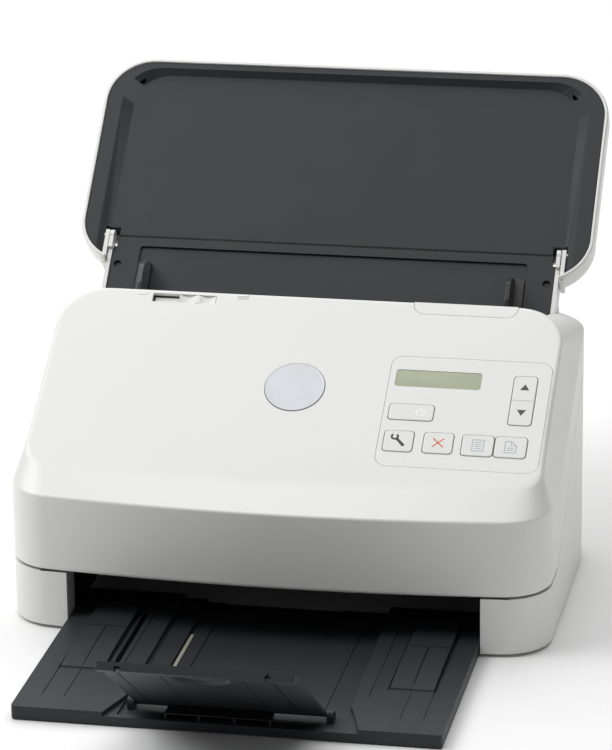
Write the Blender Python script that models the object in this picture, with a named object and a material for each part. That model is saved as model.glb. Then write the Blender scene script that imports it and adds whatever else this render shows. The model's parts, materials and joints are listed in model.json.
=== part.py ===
"""Sheet fed document scanner with its paper trays open, as separate pieces on real joints.

The drawing frame is in millimetres: X to the right, Y to the back, Z up, with the floor at Z = 0 and
X = 0 in the middle. Outlines are (y, z) pairs for a prism along X, (x, z) along Y and (x, y) along Z.
A leaning group has its own frame of x, s (along its face) and n (out of its face). At the end
everything moves in Y so that the origin is below the middle of the whole object.
"""

import math

import bmesh
import bpy
from mathutils import Matrix

MM = 0.001
GAP = 0.3
ROUND = 18

# Body
HALF_WIDTH = 155.0
FRONT = -113.0
REAR = 85.0
BOW_ANGLE = math.radians(6.6)
CORNER_FRONT = 28.0
CORNER_REAR = 38.0
WALL = 2.4
BASE_BOTTOM = 2.0
FRONT_SEAM = 34.5
SEAM_GAP = 1.2
SEAM_START = -58.0
SEAM_BACK = (70.0, 133.6)
BAY_HALF = 118.3
BAY_BACK = -42.0
CAVITY_BACK = 60.0
FEET_X = 132.0
FEET_Y = (-78.0, 62.0)

# Sloping top of the cover
SLOPE = math.radians(32.5)
SLOPE_START = (-84.0, 95.0)
SLOPE_LENGTH = 127.5
SLOPE_HALF = 148.0
EDGE_FRONT = 80.0
EDGE_BACK = 143.0
EDGE_TURN = -53.0

# Straight paper path between the two halves
PATH = math.radians(38.0)
PATH_START = (30.0, 123.0)
PATH_GAP = 3.0
PAPER_HALF = 108.3
ROLLER = 9.0
ROLLER_DEPTH = 8.2
SHAFT = 3.0
PINCH = 7.0
PINCH_HEIGHT = ROLLER - ROLLER_DEPTH + 0.4 + PINCH
SEPARATOR_HEIGHT = ROLLER - ROLLER_DEPTH + 0.4 + ROLLER
PICK_AT = 0.0
FEED_AT = 36.0
EXIT_AT = 82.0
GLASS_AT = (51.5, 66.5)
FRAME_X = (121.2, 123.7)

# Openings in the slope, as spans of x and s
PANEL_X = (53.0, 145.6)
PANEL_S = (8.0, 87.3)
LATCH_X = (59.5, 120.5)
LATCH_S = (118.7, 130.0)
SWITCH_X = (-94.5, -56.5)
SWITCH_S = (118.4, 124.8)

BUTTONS = {
    "button_power": ((56.2, 82.2), (40.9, 52.7)),
    "button_tools": ((56.2, 73.4), (18.4, 33.4)),
    "button_cancel": ((78.8, 96.0), (18.4, 33.4)),
    "button_simplex": ((100.6, 118.85), (18.1, 33.2)),
    "button_duplex": ((119.15, 137.6), (18.1, 33.2)),
    "rocker_up_down": ((124.4, 138.0), (41.3, 76.8)),
}
DISPLAY_X = (56.8, 106.0)
DISPLAY_S = (65.2, 77.4)

# Gears on the right ends of the roller shafts
MODULE = 1.0
GEAR_X = (124.3, 129.3)
ROLLER_TEETH = 20
SMALL_TEETH = 16
LARGE_TEETH = 26
PINION_TEETH = 12
MOTOR_ANGLE = math.radians(-60.0)

# Cover hinge, near the lower front edge
HINGE = (-100.6, 40.0)
HINGE_X = (119.4, 122.4)
EDGE_CHAMFER = (1.6, 2.2)
HINGE_SWEEP = 6.9

# Input tray: a leaning arm with a wide flap on top
LEAN = math.radians(43.0)
FLAP_AXIS = (88.6, 174.7)
ARM_HALF = 136.2
ARM_LENGTH = 62.0
ARM_PIVOT = (-56.0, -8.0)
FLAP_HALF = 155.0
FLAP_TOP = 124.0
FLAP_EAR = -20.0
FLAP_CORNER = 30.0
RACK_S = -39.5
GUIDE_TEETH = 10

# Output tray
TRAY_HALF = 117.5
TRAY_FRONT = -233.0
TRAY_BACK = -62.0
TRAY_TOP = 8.2
TRAY_BOTTOM = 0.8
CHANNEL_HALF = 64.0
CHANNEL_FLOOR = 4.0
STOP_AXIS = (-216.0, 8.0)
STOP_HALF = 52.0
STOP_LENGTH = 100.5
STOP_BAR = 5.0
STOP_LEAN = math.radians(145.5)
STOP_PIN = 1.2

COLOURS = {
    "white_plastic": ((0.80, 0.80, 0.77), 0.42, 0.0),
    "panel_plastic": ((0.82, 0.82, 0.80), 0.35, 0.0),
    "button_plastic": ((0.80, 0.80, 0.78), 0.40, 0.0),
    "dark_plastic": ((0.035, 0.037, 0.042), 0.50, 0.0),
    "black_plastic": ((0.012, 0.012, 0.013), 0.45, 0.0),
    "frame_plastic": ((0.10, 0.10, 0.11), 0.50, 0.0),
    "steel": ((0.56, 0.57, 0.58), 0.30, 1.0),
    "rubber": ((0.05, 0.05, 0.05), 0.85, 0.0),
    "gear_plastic": ((0.74, 0.72, 0.66), 0.45, 0.0),
    "circuit_board": ((0.03, 0.20, 0.09), 0.50, 0.0),
    "display": ((0.42, 0.47, 0.31), 0.15, 0.0),
    "glass": ((0.80, 0.87, 0.86), 0.05, 0.0),
    "emblem": ((0.47, 0.48, 0.50), 0.30, 0.6),
}

parts = {}
pivots = {}


# Scene and mesh helpers


def clear_scene():
    for item in list(bpy.data.objects):
        bpy.data.objects.remove(item)


def make_collection(name):
    collection = bpy.data.collections.new(name)
    bpy.context.scene.collection.children.link(collection)
    return collection


def make_material(name):
    colour, roughness, metallic = COLOURS[name]
    material = bpy.data.materials.new(name)
    material.use_nodes = True
    shader = material.node_tree.nodes["Principled BSDF"]
    shader.inputs["Base Color"].default_value = (*colour, 1.0)
    shader.inputs["Roughness"].default_value = roughness
    shader.inputs["Metallic"].default_value = metallic
    return material


def new_object(name, mesh):
    item = bpy.data.objects.new(name, mesh)
    WORKSHOP.objects.link(item)
    return item


def from_bmesh(name, shape):
    bmesh.ops.recalc_face_normals(shape, faces=shape.faces)
    mesh = bpy.data.meshes.new(name)
    shape.to_mesh(mesh)
    shape.free()
    return new_object(name, mesh)


def baked(item):
    """The object's own mesh, replaced by what its modifiers or its curve make of it."""
    bpy.context.view_layer.update()
    graph = bpy.context.evaluated_depsgraph_get()
    return bpy.data.meshes.new_from_object(item.evaluated_get(graph))


def block(x, y, z, name="block"):
    """A box between two values along each axis."""
    shape = bmesh.new()
    bmesh.ops.create_cube(shape, size=1.0)
    spans = [(pair[1] - pair[0]) * MM for pair in (x, y, z)]
    middle = [(pair[1] + pair[0]) * MM / 2 for pair in (x, y, z)]
    bmesh.ops.scale(shape, vec=spans, verts=shape.verts)
    bmesh.ops.translate(shape, vec=middle, verts=shape.verts)
    return from_bmesh(name, shape)


def rod(radius, x, centre, sides=ROUND, name="rod"):
    """A cylinder along X, around a (y, z) centre."""
    shape = bmesh.new()
    size, depth = radius * MM, (x[1] - x[0]) * MM
    bmesh.ops.create_cone(shape, cap_ends=True, segments=sides, radius1=size, radius2=size, depth=depth)
    turn = Matrix.Rotation(math.pi / 2, 4, "Y")
    move = Matrix.Translation(((x[0] + x[1]) * MM / 2, centre[0] * MM, centre[1] * MM))
    bmesh.ops.transform(shape, matrix=move @ turn, verts=shape.verts)
    return from_bmesh(name, shape)


def disc(radius, centre, z, sides=ROUND, name="disc"):
    """A cylinder along Z, around an (x, y) centre."""
    shape = bmesh.new()
    size, depth = radius * MM, (z[1] - z[0]) * MM
    bmesh.ops.create_cone(shape, cap_ends=True, segments=sides, radius1=size, radius2=size, depth=depth)
    move = Matrix.Translation((centre[0] * MM, centre[1] * MM, (z[0] + z[1]) * MM / 2))
    bmesh.ops.transform(shape, matrix=move, verts=shape.verts)
    return from_bmesh(name, shape)


PRISM_AXES = {
    "X": Matrix(((0, 0, 1, 0), (1, 0, 0, 0), (0, 1, 0, 0), (0, 0, 0, 1))),
    "Y": Matrix(((1, 0, 0, 0), (0, 0, 1, 0), (0, 1, 0, 0), (0, 0, 0, 1))),
    "Z": Matrix.Identity(4),
}


def prism(outline, axis, span, name="prism"):
    """A flat outline, as a filled 2D curve, given thickness along an axis between two values."""
    curve = bpy.data.curves.new(name, "CURVE")
    curve.dimensions = "2D"
    curve.fill_mode = "BOTH"
    curve.extrude = (span[1] - span[0]) * MM / 2
    spline = curve.splines.new("POLY")
    spline.points.add(len(outline) - 1)
    for point, (u, v) in zip(spline.points, outline):
        point.co = (u * MM, v * MM, 0.0, 1.0)
    spline.use_cyclic_u = True
    guide = new_object(name, curve)
    mesh = baked(guide)
    bpy.data.objects.remove(guide)
    shape = bmesh.new()
    shape.from_mesh(mesh)
    bmesh.ops.remove_doubles(shape, verts=shape.verts, dist=1e-6)
    bmesh.ops.dissolve_limit(shape, angle_limit=0.001, verts=shape.verts, edges=shape.edges)
    move = Matrix.Translation((0, 0, (span[0] + span[1]) * MM / 2))
    bmesh.ops.transform(shape, matrix=PRISM_AXES[axis] @ move, verts=shape.verts)
    return from_bmesh(name, shape)


def loft(rings, name="loft"):
    """A closed solid through rings of equally many (x, y, z) points, with flat ends."""
    shape = bmesh.new()
    made = [[shape.verts.new([c * MM for c in point]) for point in ring] for ring in rings]
    for lower, upper in zip(made, made[1:]):
        for i in range(len(lower)):
            j = (i + 1) % len(lower)
            shape.faces.new((lower[i], lower[j], upper[j], upper[i]))
    bmesh.ops.triangulate(shape, faces=shape.faces)
    shape.faces.new(list(reversed(made[0])))
    shape.faces.new(made[-1])
    return from_bmesh(name, shape)


def boolean(target, other, operation, solver="EXACT"):
    """Bakes a Boolean and drops its cutter."""
    modifier = target.modifiers.new(operation.lower(), "BOOLEAN")
    modifier.object = other
    modifier.operation = operation
    modifier.solver = solver
    mesh = baked(target)
    target.modifiers.clear()
    target.data = mesh
    bpy.data.objects.remove(other)
    return target


def cut(target, *others):
    for other in others:
        boolean(target, other, "DIFFERENCE")
    return target


def join(target, *others, solver="EXACT"):
    for other in others:
        boolean(target, other, "UNION", solver)
    return target


def keep(target, *others):
    for other in others:
        boolean(target, other, "INTERSECT")
    return target


def moved(item, matrix):
    item.data.transform(matrix)
    return item


def add_part(name, item, material):
    """Names a finished piece, gives it its material and puts it with the parts."""
    item.name = name
    item.data.name = name
    item.data.materials.clear()
    item.data.materials.append(MATERIALS[material])
    item.data.shade_smooth()
    item.data.set_sharp_from_angle(angle=math.radians(35))
    WORKSHOP.objects.unlink(item)
    SCANNER.objects.link(item)
    parts[name] = item
    return item


# Outlines and frames


def rounded(corners, radius, steps=4):
    """An outline with its corners rounded. radius is one value, or one for each corner."""
    radii = radius if isinstance(radius, (list, tuple)) else [radius] * len(corners)
    outline = []
    for i, (corner, size) in enumerate(zip(corners, radii)):
        before, after = corners[i - 1], corners[(i + 1) % len(corners)]
        if size <= 0:
            outline.append(corner)
            continue
        a = math.atan2(before[1] - corner[1], before[0] - corner[0])
        b = math.atan2(after[1] - corner[1], after[0] - corner[0])
        half = abs(math.remainder(b - a, math.tau)) / 2
        middle = a + math.remainder(b - a, math.tau) / 2
        reach = size / math.sin(half)
        centre = (corner[0] + reach * math.cos(middle), corner[1] + reach * math.sin(middle))
        sweep = math.pi - 2 * half
        side = math.copysign(1.0, math.remainder(b - a, math.tau))
        first = middle + math.pi + side * sweep / 2
        for k in range(steps + 1):
            angle = first - side * sweep * k / steps
            outline.append((centre[0] + size * math.cos(angle), centre[1] + size * math.sin(angle)))
    return outline


def inset_span(span, by):
    return (span[0] + by, span[1] - by)


def rectangle(u, v, radius=0.0, steps=3):
    return rounded([(u[0], v[0]), (u[1], v[0]), (u[1], v[1]), (u[0], v[1])], radius, steps)


def body_plan(inset=0.0, front_steps=8, corner_steps=6):
    """The body seen from above: a bowed front, tight front corners and wide rear corners."""
    half = HALF_WIDTH - inset
    front_radius = CORNER_FRONT - inset
    rear_radius = CORNER_REAR - inset
    bow_half = half - front_radius * (1 - math.sin(BOW_ANGLE))
    bow = bow_half * math.tan(BOW_ANGLE) / 2
    right = []
    for k in range(front_steps // 2 + 1):
        x = bow_half * 2 * k / front_steps
        right.append((x, FRONT + inset + bow * (x / bow_half) ** 2))
    centre_y = FRONT + inset + bow + front_radius * math.cos(BOW_ANGLE)
    for k in range(1, corner_steps + 1):
        angle = -math.pi / 2 + BOW_ANGLE + (math.pi / 2 - BOW_ANGLE) * k / corner_steps
        x = half - front_radius * (1 - math.cos(angle))
        right.append((x, centre_y + front_radius * math.sin(angle)))
    for k in range(corner_steps + 1):
        angle = math.pi / 2 * k / corner_steps
        x = half - rear_radius * (1 - math.cos(angle))
        right.append((x, REAR - inset - rear_radius * (1 - math.sin(angle))))
    left = [(-x, y) for x, y in reversed(right) if x > 0.001]
    return right + left


def edge_height(y):
    """How high the lower edge of the cover's broad bevel runs: level in front, then up with the slope."""
    rise = (y - EDGE_TURN) * math.tan(SLOPE) * 0.95
    return min(max(EDGE_FRONT, EDGE_FRONT + rise), EDGE_BACK)


def slope_plan(inset, front_steps=8, corner_steps=6):
    """The sloping face's outline as (x, s), point for point with body_plan."""
    half = SLOPE_HALF - inset
    small = 12.0
    wide = 28.0
    bow_half = half - small
    bow = bow_half * math.tan(BOW_ANGLE) / 2
    right = []
    for k in range(front_steps // 2 + 1):
        x = bow_half * 2 * k / front_steps
        right.append((x, inset - bow * (1 - (x / bow_half) ** 2)))
    for k in range(1, corner_steps + 1):
        angle = -math.pi / 2 * (1 - k / corner_steps)
        x = half - small * (1 - math.cos(angle))
        right.append((x, inset + small * (1 + math.sin(angle))))
    for k in range(corner_steps + 1):
        angle = math.pi / 2 * k / corner_steps
        x = half - wide * (1 - math.cos(angle))
        right.append((x, SLOPE_LENGTH - inset - wide * (1 - math.sin(angle))))
    left = [(-x, s) for x, s in reversed(right) if x > 0.001]
    return right + left


def cover_solid(inset, bottom, chamfer=(0.0, 0.0)):
    """The cover's outside, or with an inset its hollow: walls up to the bevel, then up to the slope."""
    plan = body_plan(inset)
    foot = [(x, y, bottom) for x, y in body_plan(inset + chamfer[0])]
    sill = [(x, y, bottom + chamfer[1]) for x, y in plan]
    edge = [(x, y, edge_height(y) - inset * 0.4) for x, y in plan]
    top = []
    for x, s in slope_plan(inset):
        y = SLOPE_START[0] + s * math.cos(SLOPE) + inset * math.sin(SLOPE)
        z = SLOPE_START[1] + s * math.sin(SLOPE) - inset * math.cos(SLOPE)
        top.append((x, y, z))
    return loft([foot, sill, edge, top] if chamfer[1] else [foot, edge, top])


def leaning(angle, origin):
    """A frame whose Y runs up along a face and whose Z stands out of it."""
    move = Matrix.Translation((0, origin[0] * MM, origin[1] * MM))
    return move @ Matrix.Rotation(angle, 4, "X")


def on_path(t, height):
    """(y, z) of a point t down the paper path and some height above it."""
    return (
        PATH_START[0] - t * math.cos(PATH) - height * math.sin(PATH),
        PATH_START[1] - t * math.sin(PATH) + height * math.cos(PATH),
    )


def seam(offset):
    """The seam seen from the side, from front to back."""
    start = (SEAM_START, FRONT_SEAM + offset)
    back = (SEAM_BACK[0], SEAM_BACK[1] + offset)
    line = rounded([(-140.0, start[1]), start, back, (120.0, back[1])], [0, 30.0, 6.0, 0], 4)
    return line


SLOPE_FRAME = leaning(SLOPE, SLOPE_START)
PATH_FRAME = leaning(PATH, PATH_START)
TRAY_FRAME = leaning(LEAN, FLAP_AXIS)
QUARTER = Matrix.Rotation(math.pi / 2, 4, "Z")

PICK = on_path(PICK_AT, -ROLLER_DEPTH)
FEED = on_path(FEED_AT, -ROLLER_DEPTH)
EXIT = on_path(EXIT_AT, -ROLLER_DEPTH)
SMALL_IDLER = on_path((PICK_AT + FEED_AT) / 2, -ROLLER_DEPTH)
LARGE_IDLER = on_path((FEED_AT + EXIT_AT) / 2, -ROLLER_DEPTH)
MOTOR_REACH = (LARGE_TEETH + PINION_TEETH) * MODULE / 2
MOTOR = (
    LARGE_IDLER[0] + MOTOR_REACH * math.cos(MOTOR_ANGLE),
    LARGE_IDLER[1] + MOTOR_REACH * math.sin(MOTOR_ANGLE),
)


# Gears


def gear_outline(teeth, centre, phase):
    """Straight sided teeth with a little play, around a centre."""
    pitch = teeth * MODULE / 2
    quarter = math.pi / teeth / 2
    play = 0.12 / pitch
    radii = (pitch - 1.1 * MODULE, pitch + 0.8 * MODULE)
    halves = (quarter * 1.42 - play, quarter * 0.52 - play)
    outline = []
    for tooth in range(teeth):
        middle = phase + math.tau * tooth / teeth
        flank = list(zip(radii, halves))
        for radius, half in flank:
            outline.append((radius, middle - half))
        for radius, half in reversed(flank):
            outline.append((radius, middle + half))
    return [(centre[0] + r * math.cos(a), centre[1] + r * math.sin(a)) for r, a in outline]


def phase_in_mesh(driver_teeth, driver_phase, direction, teeth):
    """The phase of a gear that meshes with a driver lying in the opposite of this direction."""
    share = math.fmod((direction - driver_phase) * driver_teeth / math.tau, 1.0)
    return direction + math.pi - (0.5 - share) * math.tau / teeth


def gear(name, teeth, centre, phase, bore):
    wheel = prism(gear_outline(teeth, centre, phase), "X", GEAR_X)
    cut(wheel, rod(bore, (GEAR_X[0] - 1, GEAR_X[1] + 1), centre, 12))
    return add_part(name, wheel, "gear_plastic")


def gear_train():
    """Pick, feed and exit gears with two idlers between them, and the motor's pinion."""
    down_path = math.atan2(-math.sin(PATH), -math.cos(PATH))
    pick_phase = down_path
    small_phase = phase_in_mesh(ROLLER_TEETH, pick_phase, down_path, SMALL_TEETH)
    feed_phase = phase_in_mesh(SMALL_TEETH, small_phase, down_path, ROLLER_TEETH)
    large_phase = phase_in_mesh(ROLLER_TEETH, feed_phase, down_path, LARGE_TEETH)
    exit_phase = phase_in_mesh(LARGE_TEETH, large_phase, down_path, ROLLER_TEETH)
    pinion_phase = phase_in_mesh(LARGE_TEETH, large_phase, MOTOR_ANGLE, PINION_TEETH)
    gear("pick_gear", ROLLER_TEETH, PICK, pick_phase, SHAFT + GAP)
    gear("small_idler_gear", SMALL_TEETH, SMALL_IDLER, small_phase, 2.0 + GAP)
    gear("feed_gear", ROLLER_TEETH, FEED, feed_phase, SHAFT + GAP)
    gear("large_idler_gear", LARGE_TEETH, LARGE_IDLER, large_phase, 2.0 + GAP)
    gear("exit_gear", ROLLER_TEETH, EXIT, exit_phase, SHAFT + GAP)
    pinion = prism(gear_outline(PINION_TEETH, MOTOR, pinion_phase), "X", GEAR_X)
    join(pinion, rod(1.7, (GEAR_X[0] - 0.4, 138.0), MOTOR))
    add_part("motor_pinion", pinion, "gear_plastic")


# Base


def base_housing():
    """The lower housing: side walls with a cheek at each side of the output bay, and a deck over the bay."""
    housing = prism(body_plan(), "Z", (BASE_BOTTOM, 140.0))
    below_seam = seam(0.0) + [(120.0, 0.0), (-140.0, 0.0)]
    keep(housing, prism(below_seam, "X", (-170.0, 170.0)))
    hollow = prism(body_plan(WALL), "Z", (BASE_BOTTOM + WALL, 160.0))
    open_above = [(-140.0, 0.0), (120.0, 0.0), (120.0, 160.0), (-20.0, 160.0), (-56.0, 40.0)]
    open_above += [(-56.0, FRONT_SEAM - WALL), (-140.0, FRONT_SEAM - WALL)]
    keep(hollow, prism(open_above, "X", (-170.0, 170.0)))
    cut(housing, hollow)
    for side in (-1, 1):
        wall = sorted((side * (BAY_HALF - 0.5), side * (BAY_HALF + 3.7)))
        join(housing, block(wall, (-104.0, BAY_BACK + 1), (BASE_BOTTOM + 1, 33.0)))
        join(housing, block(wall, (BAY_BACK, CAVITY_BACK + 1), (BASE_BOTTOM + 0.8, 21.0)))
    join(housing, block((-126.0, 126.0), (BAY_BACK, CAVITY_BACK + 2.0), (20.0, 22.5)))
    join(housing, block((-119.0, 119.0), (BAY_BACK, BAY_BACK + WALL), (21.0, 62.0)))
    join(housing, block((-121.0, 121.0), (CAVITY_BACK, CAVITY_BACK + WALL), (BASE_BOTTOM + 1, 21.5)))
    cut(housing, block((-BAY_HALF, BAY_HALF), (-140.0, CAVITY_BACK), (-1.0, 20.0)))
    cut(housing, block((-BAY_HALF, BAY_HALF), (-140.0, BAY_BACK), (19.0, 60.0)))
    for side in (-1, 1):
        groove = sorted((side * (BAY_HALF - 1), side * (BAY_HALF + 1.7)))
        cut(housing, block(groove, (-102.0, CAVITY_BACK), (2.7, 5.5)))
        slot = sorted((side * (HINGE_X[0] - GAP), side * (HINGE_X[1] + GAP)))
        cut(housing, block(slot, (-90.6, -79.4), (30.0, 36.0)))
        sweep = sorted((side * (BAY_HALF - 1), side * 134.0))
        cut(housing, rod(HINGE_SWEEP, sweep, HINGE, 30))
    cut(housing, block((-110.0, 110.0), (70.0, 90.0), (14.0, 118.0)))
    for x in (-FEET_X, FEET_X):
        for y in FEET_Y:
            cut(housing, disc(6.3, (x, y), (0.0, 3.2)))
    add_part("base_housing", housing, "white_plastic")


def feet():
    for row, y in (("front", FEET_Y[0]), ("rear", FEET_Y[1])):
        add_part("foot_" + row + "_left", disc(6.0, (-FEET_X, y), (0.0, 2.9)), "rubber")
        add_part("foot_" + row + "_right", disc(6.0, (FEET_X, y), (0.0, 2.9)), "rubber")


def rear_cap():
    """The raised back of the body behind the input tray, closed by a sloping deck."""
    deck = [(62.5, 130.0), (83.0, 149.2), (100.0, 149.2), (100.0, 135.3), (68.5, 135.3)]
    cap = prism(deck, "X", (-ARM_HALF, ARM_HALF))
    keep(cap, prism(body_plan(), "Z", (120.0, 160.0)))
    under = [(66.5, 130.0), (84.0, 146.4), (100.0, 146.4), (100.0, 130.0)]
    hollow = prism(under, "X", (-ARM_HALF + 2.2, ARM_HALF - 2.2))
    keep(hollow, prism(body_plan(WALL), "Z", (120.0, 160.0)))
    add_part("rear_cap", cut(cap, hollow), "white_plastic")


def rear_panel():
    """The flat back panel with its cooling slots and the openings for the two sockets."""
    panel = prism(rectangle((-109.6, 109.6), (14.4, 117.6), 3.0), "Y", (REAR - WALL, REAR))
    for row in range(6):
        z = 66.0 + 7.0 * row
        cut(panel, block((-70.0, 70.0), (70.0, 90.0), (z, z + 2.4)))
    cut(panel, block((22.0, 37.0), (70.0, 90.0), (22.0, 36.0)))
    cut(panel, disc_y(6.6, (-20.0, 29.0), (70.0, 90.0)))
    add_part("rear_panel", panel, "white_plastic")


def disc_y(radius, centre, y):
    """A cylinder along Y, around an (x, z) centre."""
    angles = [math.tau * k / ROUND for k in range(ROUND)]
    outline = [(centre[0] + radius * math.cos(a), centre[1] + radius * math.sin(a)) for a in angles]
    return prism(outline, "Y", y)


def main_board():
    board = block((-95.0, 60.0), (66.0, 67.6), (23.5, 108.0))
    join(board, block((-60.0, -36.0), (64.0, 66.5), (60.0, 84.0)))
    join(board, block((0.0, 14.0), (64.4, 66.5), (64.0, 78.0)))
    join(board, block((-85.0, -72.0), (60.0, 66.5), (90.0, 102.0)))
    add_part("main_board", board, "circuit_board")


def sockets():
    usb = block((23.0, 36.0), (68.0, 84.6), (23.0, 35.0))
    cut(usb, block((25.0, 34.0), (72.0, 90.0), (25.0, 33.0)))
    join(usb, block((27.0, 32.0), (71.0, 83.0), (27.5, 30.5)))
    add_part("usb_socket", usb, "steel")
    inlet = disc_y(6.0, (-20.0, 29.0), (68.0, 84.6))
    cut(inlet, disc_y(3.4, (-20.0, 29.0), (72.0, 90.0)))
    join(inlet, disc_y(1.0, (-20.0, 29.0), (71.0, 83.0)))
    add_part("power_socket", inlet, "black_plastic")


def side_frames():
    """The two upright plates that carry the rollers, the idlers' pins and the input tray's pivots."""
    pivot = tray_point(*ARM_PIVOT)
    foot = FRONT_SEAM - 11.7
    outline = [(BAY_BACK + 3.0, foot), (56.0, foot), (60.0, 124.0), (57.5, 136.0)]
    outline += [(48.5, 136.0), (46.0, 128.0), on_path(-6.0, -1.0), on_path(EXIT_AT + 7.0, -1.0)]
    for label, side in (("left", -1), ("right", 1)):
        span = sorted((side * FRAME_X[0], side * FRAME_X[1]))
        plate = prism(outline, "X", span)
        for centre in (PICK, FEED, EXIT):
            cut(plate, rod(SHAFT + GAP, (side * 122.5 - 4, side * 122.5 + 4), centre))
        cut(plate, rod(2.0 + GAP, (side * 122.5 - 4, side * 122.5 + 4), pivot))
        if side > 0:
            for centre in (SMALL_IDLER, LARGE_IDLER):
                join(plate, rod(2.0, (FRAME_X[0] + 1, GEAR_X[1] + 1.0), centre))
        add_part("side_frame_" + label, plate, "frame_plastic")


def lower_guide():
    """The plate that paper slides down, with windows for the rollers and the scan glass."""
    plate = block((-120.9, 120.9), (-90.0, 13.0), (-3.0, 0.0))
    for t, half, width in ((PICK_AT, 0.0, 30.0), (FEED_AT, 42.0, 13.0), (EXIT_AT, 58.0, 13.0)):
        for x in {-half, half}:
            cut(plate, block((x - width, x + width), (-t - 8.2, -t + 8.2), (-6.0, 2.0)))
    cut(plate, block((-110.5, 110.5), (-GLASS_AT[1] - GAP, -GLASS_AT[0] + GAP), (-6.0, 2.0)))
    add_part("lower_guide", moved(plate, PATH_FRAME), "dark_plastic")


def roller(name, centre, tyres, x, radius=ROLLER, shaft=SHAFT):
    """A shaft with rubber rollers on it, in one piece that turns."""
    piece = rod(shaft, x, centre)
    for low, high in tyres:
        join(piece, rod(radius, (low, high), centre))
    add_part(name, piece, "rubber")


def lower_rollers():
    ends = (-126.0, GEAR_X[1] + 1.5)
    roller("pick_roller", PICK, [(-28.0, 28.0)], ends)
    roller("feed_roller", FEED, [(-53.0, -31.0), (31.0, 53.0)], ends)
    roller("exit_roller", EXIT, [(-69.0, -47.0), (47.0, 69.0)], ends)


def scan_modules():
    """The two image sensors, one below the paper path and one above it, each behind its glass."""
    along = (-GLASS_AT[1], -GLASS_AT[0])
    lower = block((-113.0, 113.0), (along[0] - 0.5, along[1] + 0.5), (-14.0, -3.4))
    add_part("scan_module_lower", moved(lower, PATH_FRAME), "black_plastic")
    glass = block((-110.0, 110.0), along, (-2.6, -0.2))
    add_part("scan_glass_lower", moved(glass, PATH_FRAME), "glass")
    upper = block((-113.0, 113.0), (along[0] - 0.5, along[1] + 0.5), (PATH_GAP + 3.4, PATH_GAP + 14.0))
    add_part("scan_module_upper", moved(upper, PATH_FRAME), "black_plastic")
    glass = block((-110.0, 110.0), along, (PATH_GAP + 0.2, PATH_GAP + 2.6))
    add_part("scan_glass_upper", moved(glass, PATH_FRAME), "glass")


def drive_motor():
    """A flat stepper motor beside the right frame, on two standoffs."""
    motor = rod(13.0, (132.0, 150.0), MOTOR, 24)
    join(motor, rod(5.0, (130.6, 133.0), MOTOR))
    cut(motor, rod(2.1, (128.0, 139.0), MOTOR))
    for dy, dz in ((11.5, -5.5), (-6.5, -11.0)):
        join(motor, rod(2.2, (FRAME_X[1] + GAP, 134.0), (MOTOR[0] + dy, MOTOR[1] + dz)))
    add_part("drive_motor", motor, "steel")


def cover_hinges():
    """A steel finger on each side of the base, with the pin riveted through it that carries the cover."""
    for label, side in (("left", -1), ("right", 1)):
        span = sorted((side * HINGE_X[0], side * HINGE_X[1]))
        profile = [(-90.3, 30.5), (-79.7, 30.5), (-79.7, 42.2)]
        profile += [(HINGE[0], 42.2), (HINGE[0], 37.8), (-90.3, 37.8)]
        finger = prism(profile, "X", span)
        ends = sorted((side * (HINGE_X[0] - 3.4), side * (HINGE_X[1] + 3.4)))
        join(finger, rod(2.2, span, HINGE), rod(1.0, ends, HINGE, 16))
        add_part("hinge_finger_" + label, finger, "steel")


# Front cover


def cover_shell():
    """The cover: sloping top, broad bevels and a shoulder at each side of the input tray."""
    shell = cover_solid(0.0, FRONT_SEAM + SEAM_GAP - 0.1, EDGE_CHAMFER)
    hollow = cover_solid(WALL, 10.0)
    for side in (-1, 1):
        inner_wall = sorted((side * ARM_HALF, side * (ARM_HALF + 2.8)))
        cut(hollow, block(inner_wall, (24.0, 120.0), (0.0, 180.0)))
    cut(shell, hollow)
    slope_end = SLOPE_START[0] + SLOPE_LENGTH * math.cos(SLOPE)
    cut(shell, block((-ARM_HALF - 0.4, ARM_HALF + 0.4), (slope_end, 120.0), (0.0, 200.0)))
    below = seam(SEAM_GAP) + [(120.0, -10.0), (-140.0, -10.0)]
    cut(shell, prism(below, "X", (-170.0, 170.0)))
    for side in (-1, 1):
        for x0, x1 in ((HINGE_X[0] - 3.6, HINGE_X[0] - 0.4), (HINGE_X[1] + 0.4, HINGE_X[1] + 3.6)):
            span = sorted((side * x0, side * x1))
            knuckle = rod(2.9, span, HINGE)
            neck = block(span, (HINGE[0] - 4.2, HINGE[0]), (HINGE[1] - 2.9, HINGE[1] + 6.0))
            join(knuckle, neck)
            cut(knuckle, rod(1.3, (span[0] - 1, span[1] + 1), HINGE, 16))
            join(shell, knuckle)
    cut(shell, moved(prism(rectangle(PANEL_X, PANEL_S, 2.5), "Z", (-6.0, 6.0)), SLOPE_FRAME))
    cut(shell, moved(prism(rectangle(LATCH_X, LATCH_S, (7.0, 7.0, 0, 0)), "Z", (-6.0, 6.0)), SLOPE_FRAME))
    cut(shell, moved(prism(rectangle(SWITCH_X, SWITCH_S), "Z", (-6.0, 6.0)), SLOPE_FRAME))
    cut(shell, moved(disc(17.7, (0.0, 60.5), (-1.0, 4.0), 40), SLOPE_FRAME))
    add_part("cover_shell", shell, "white_plastic")


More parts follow.
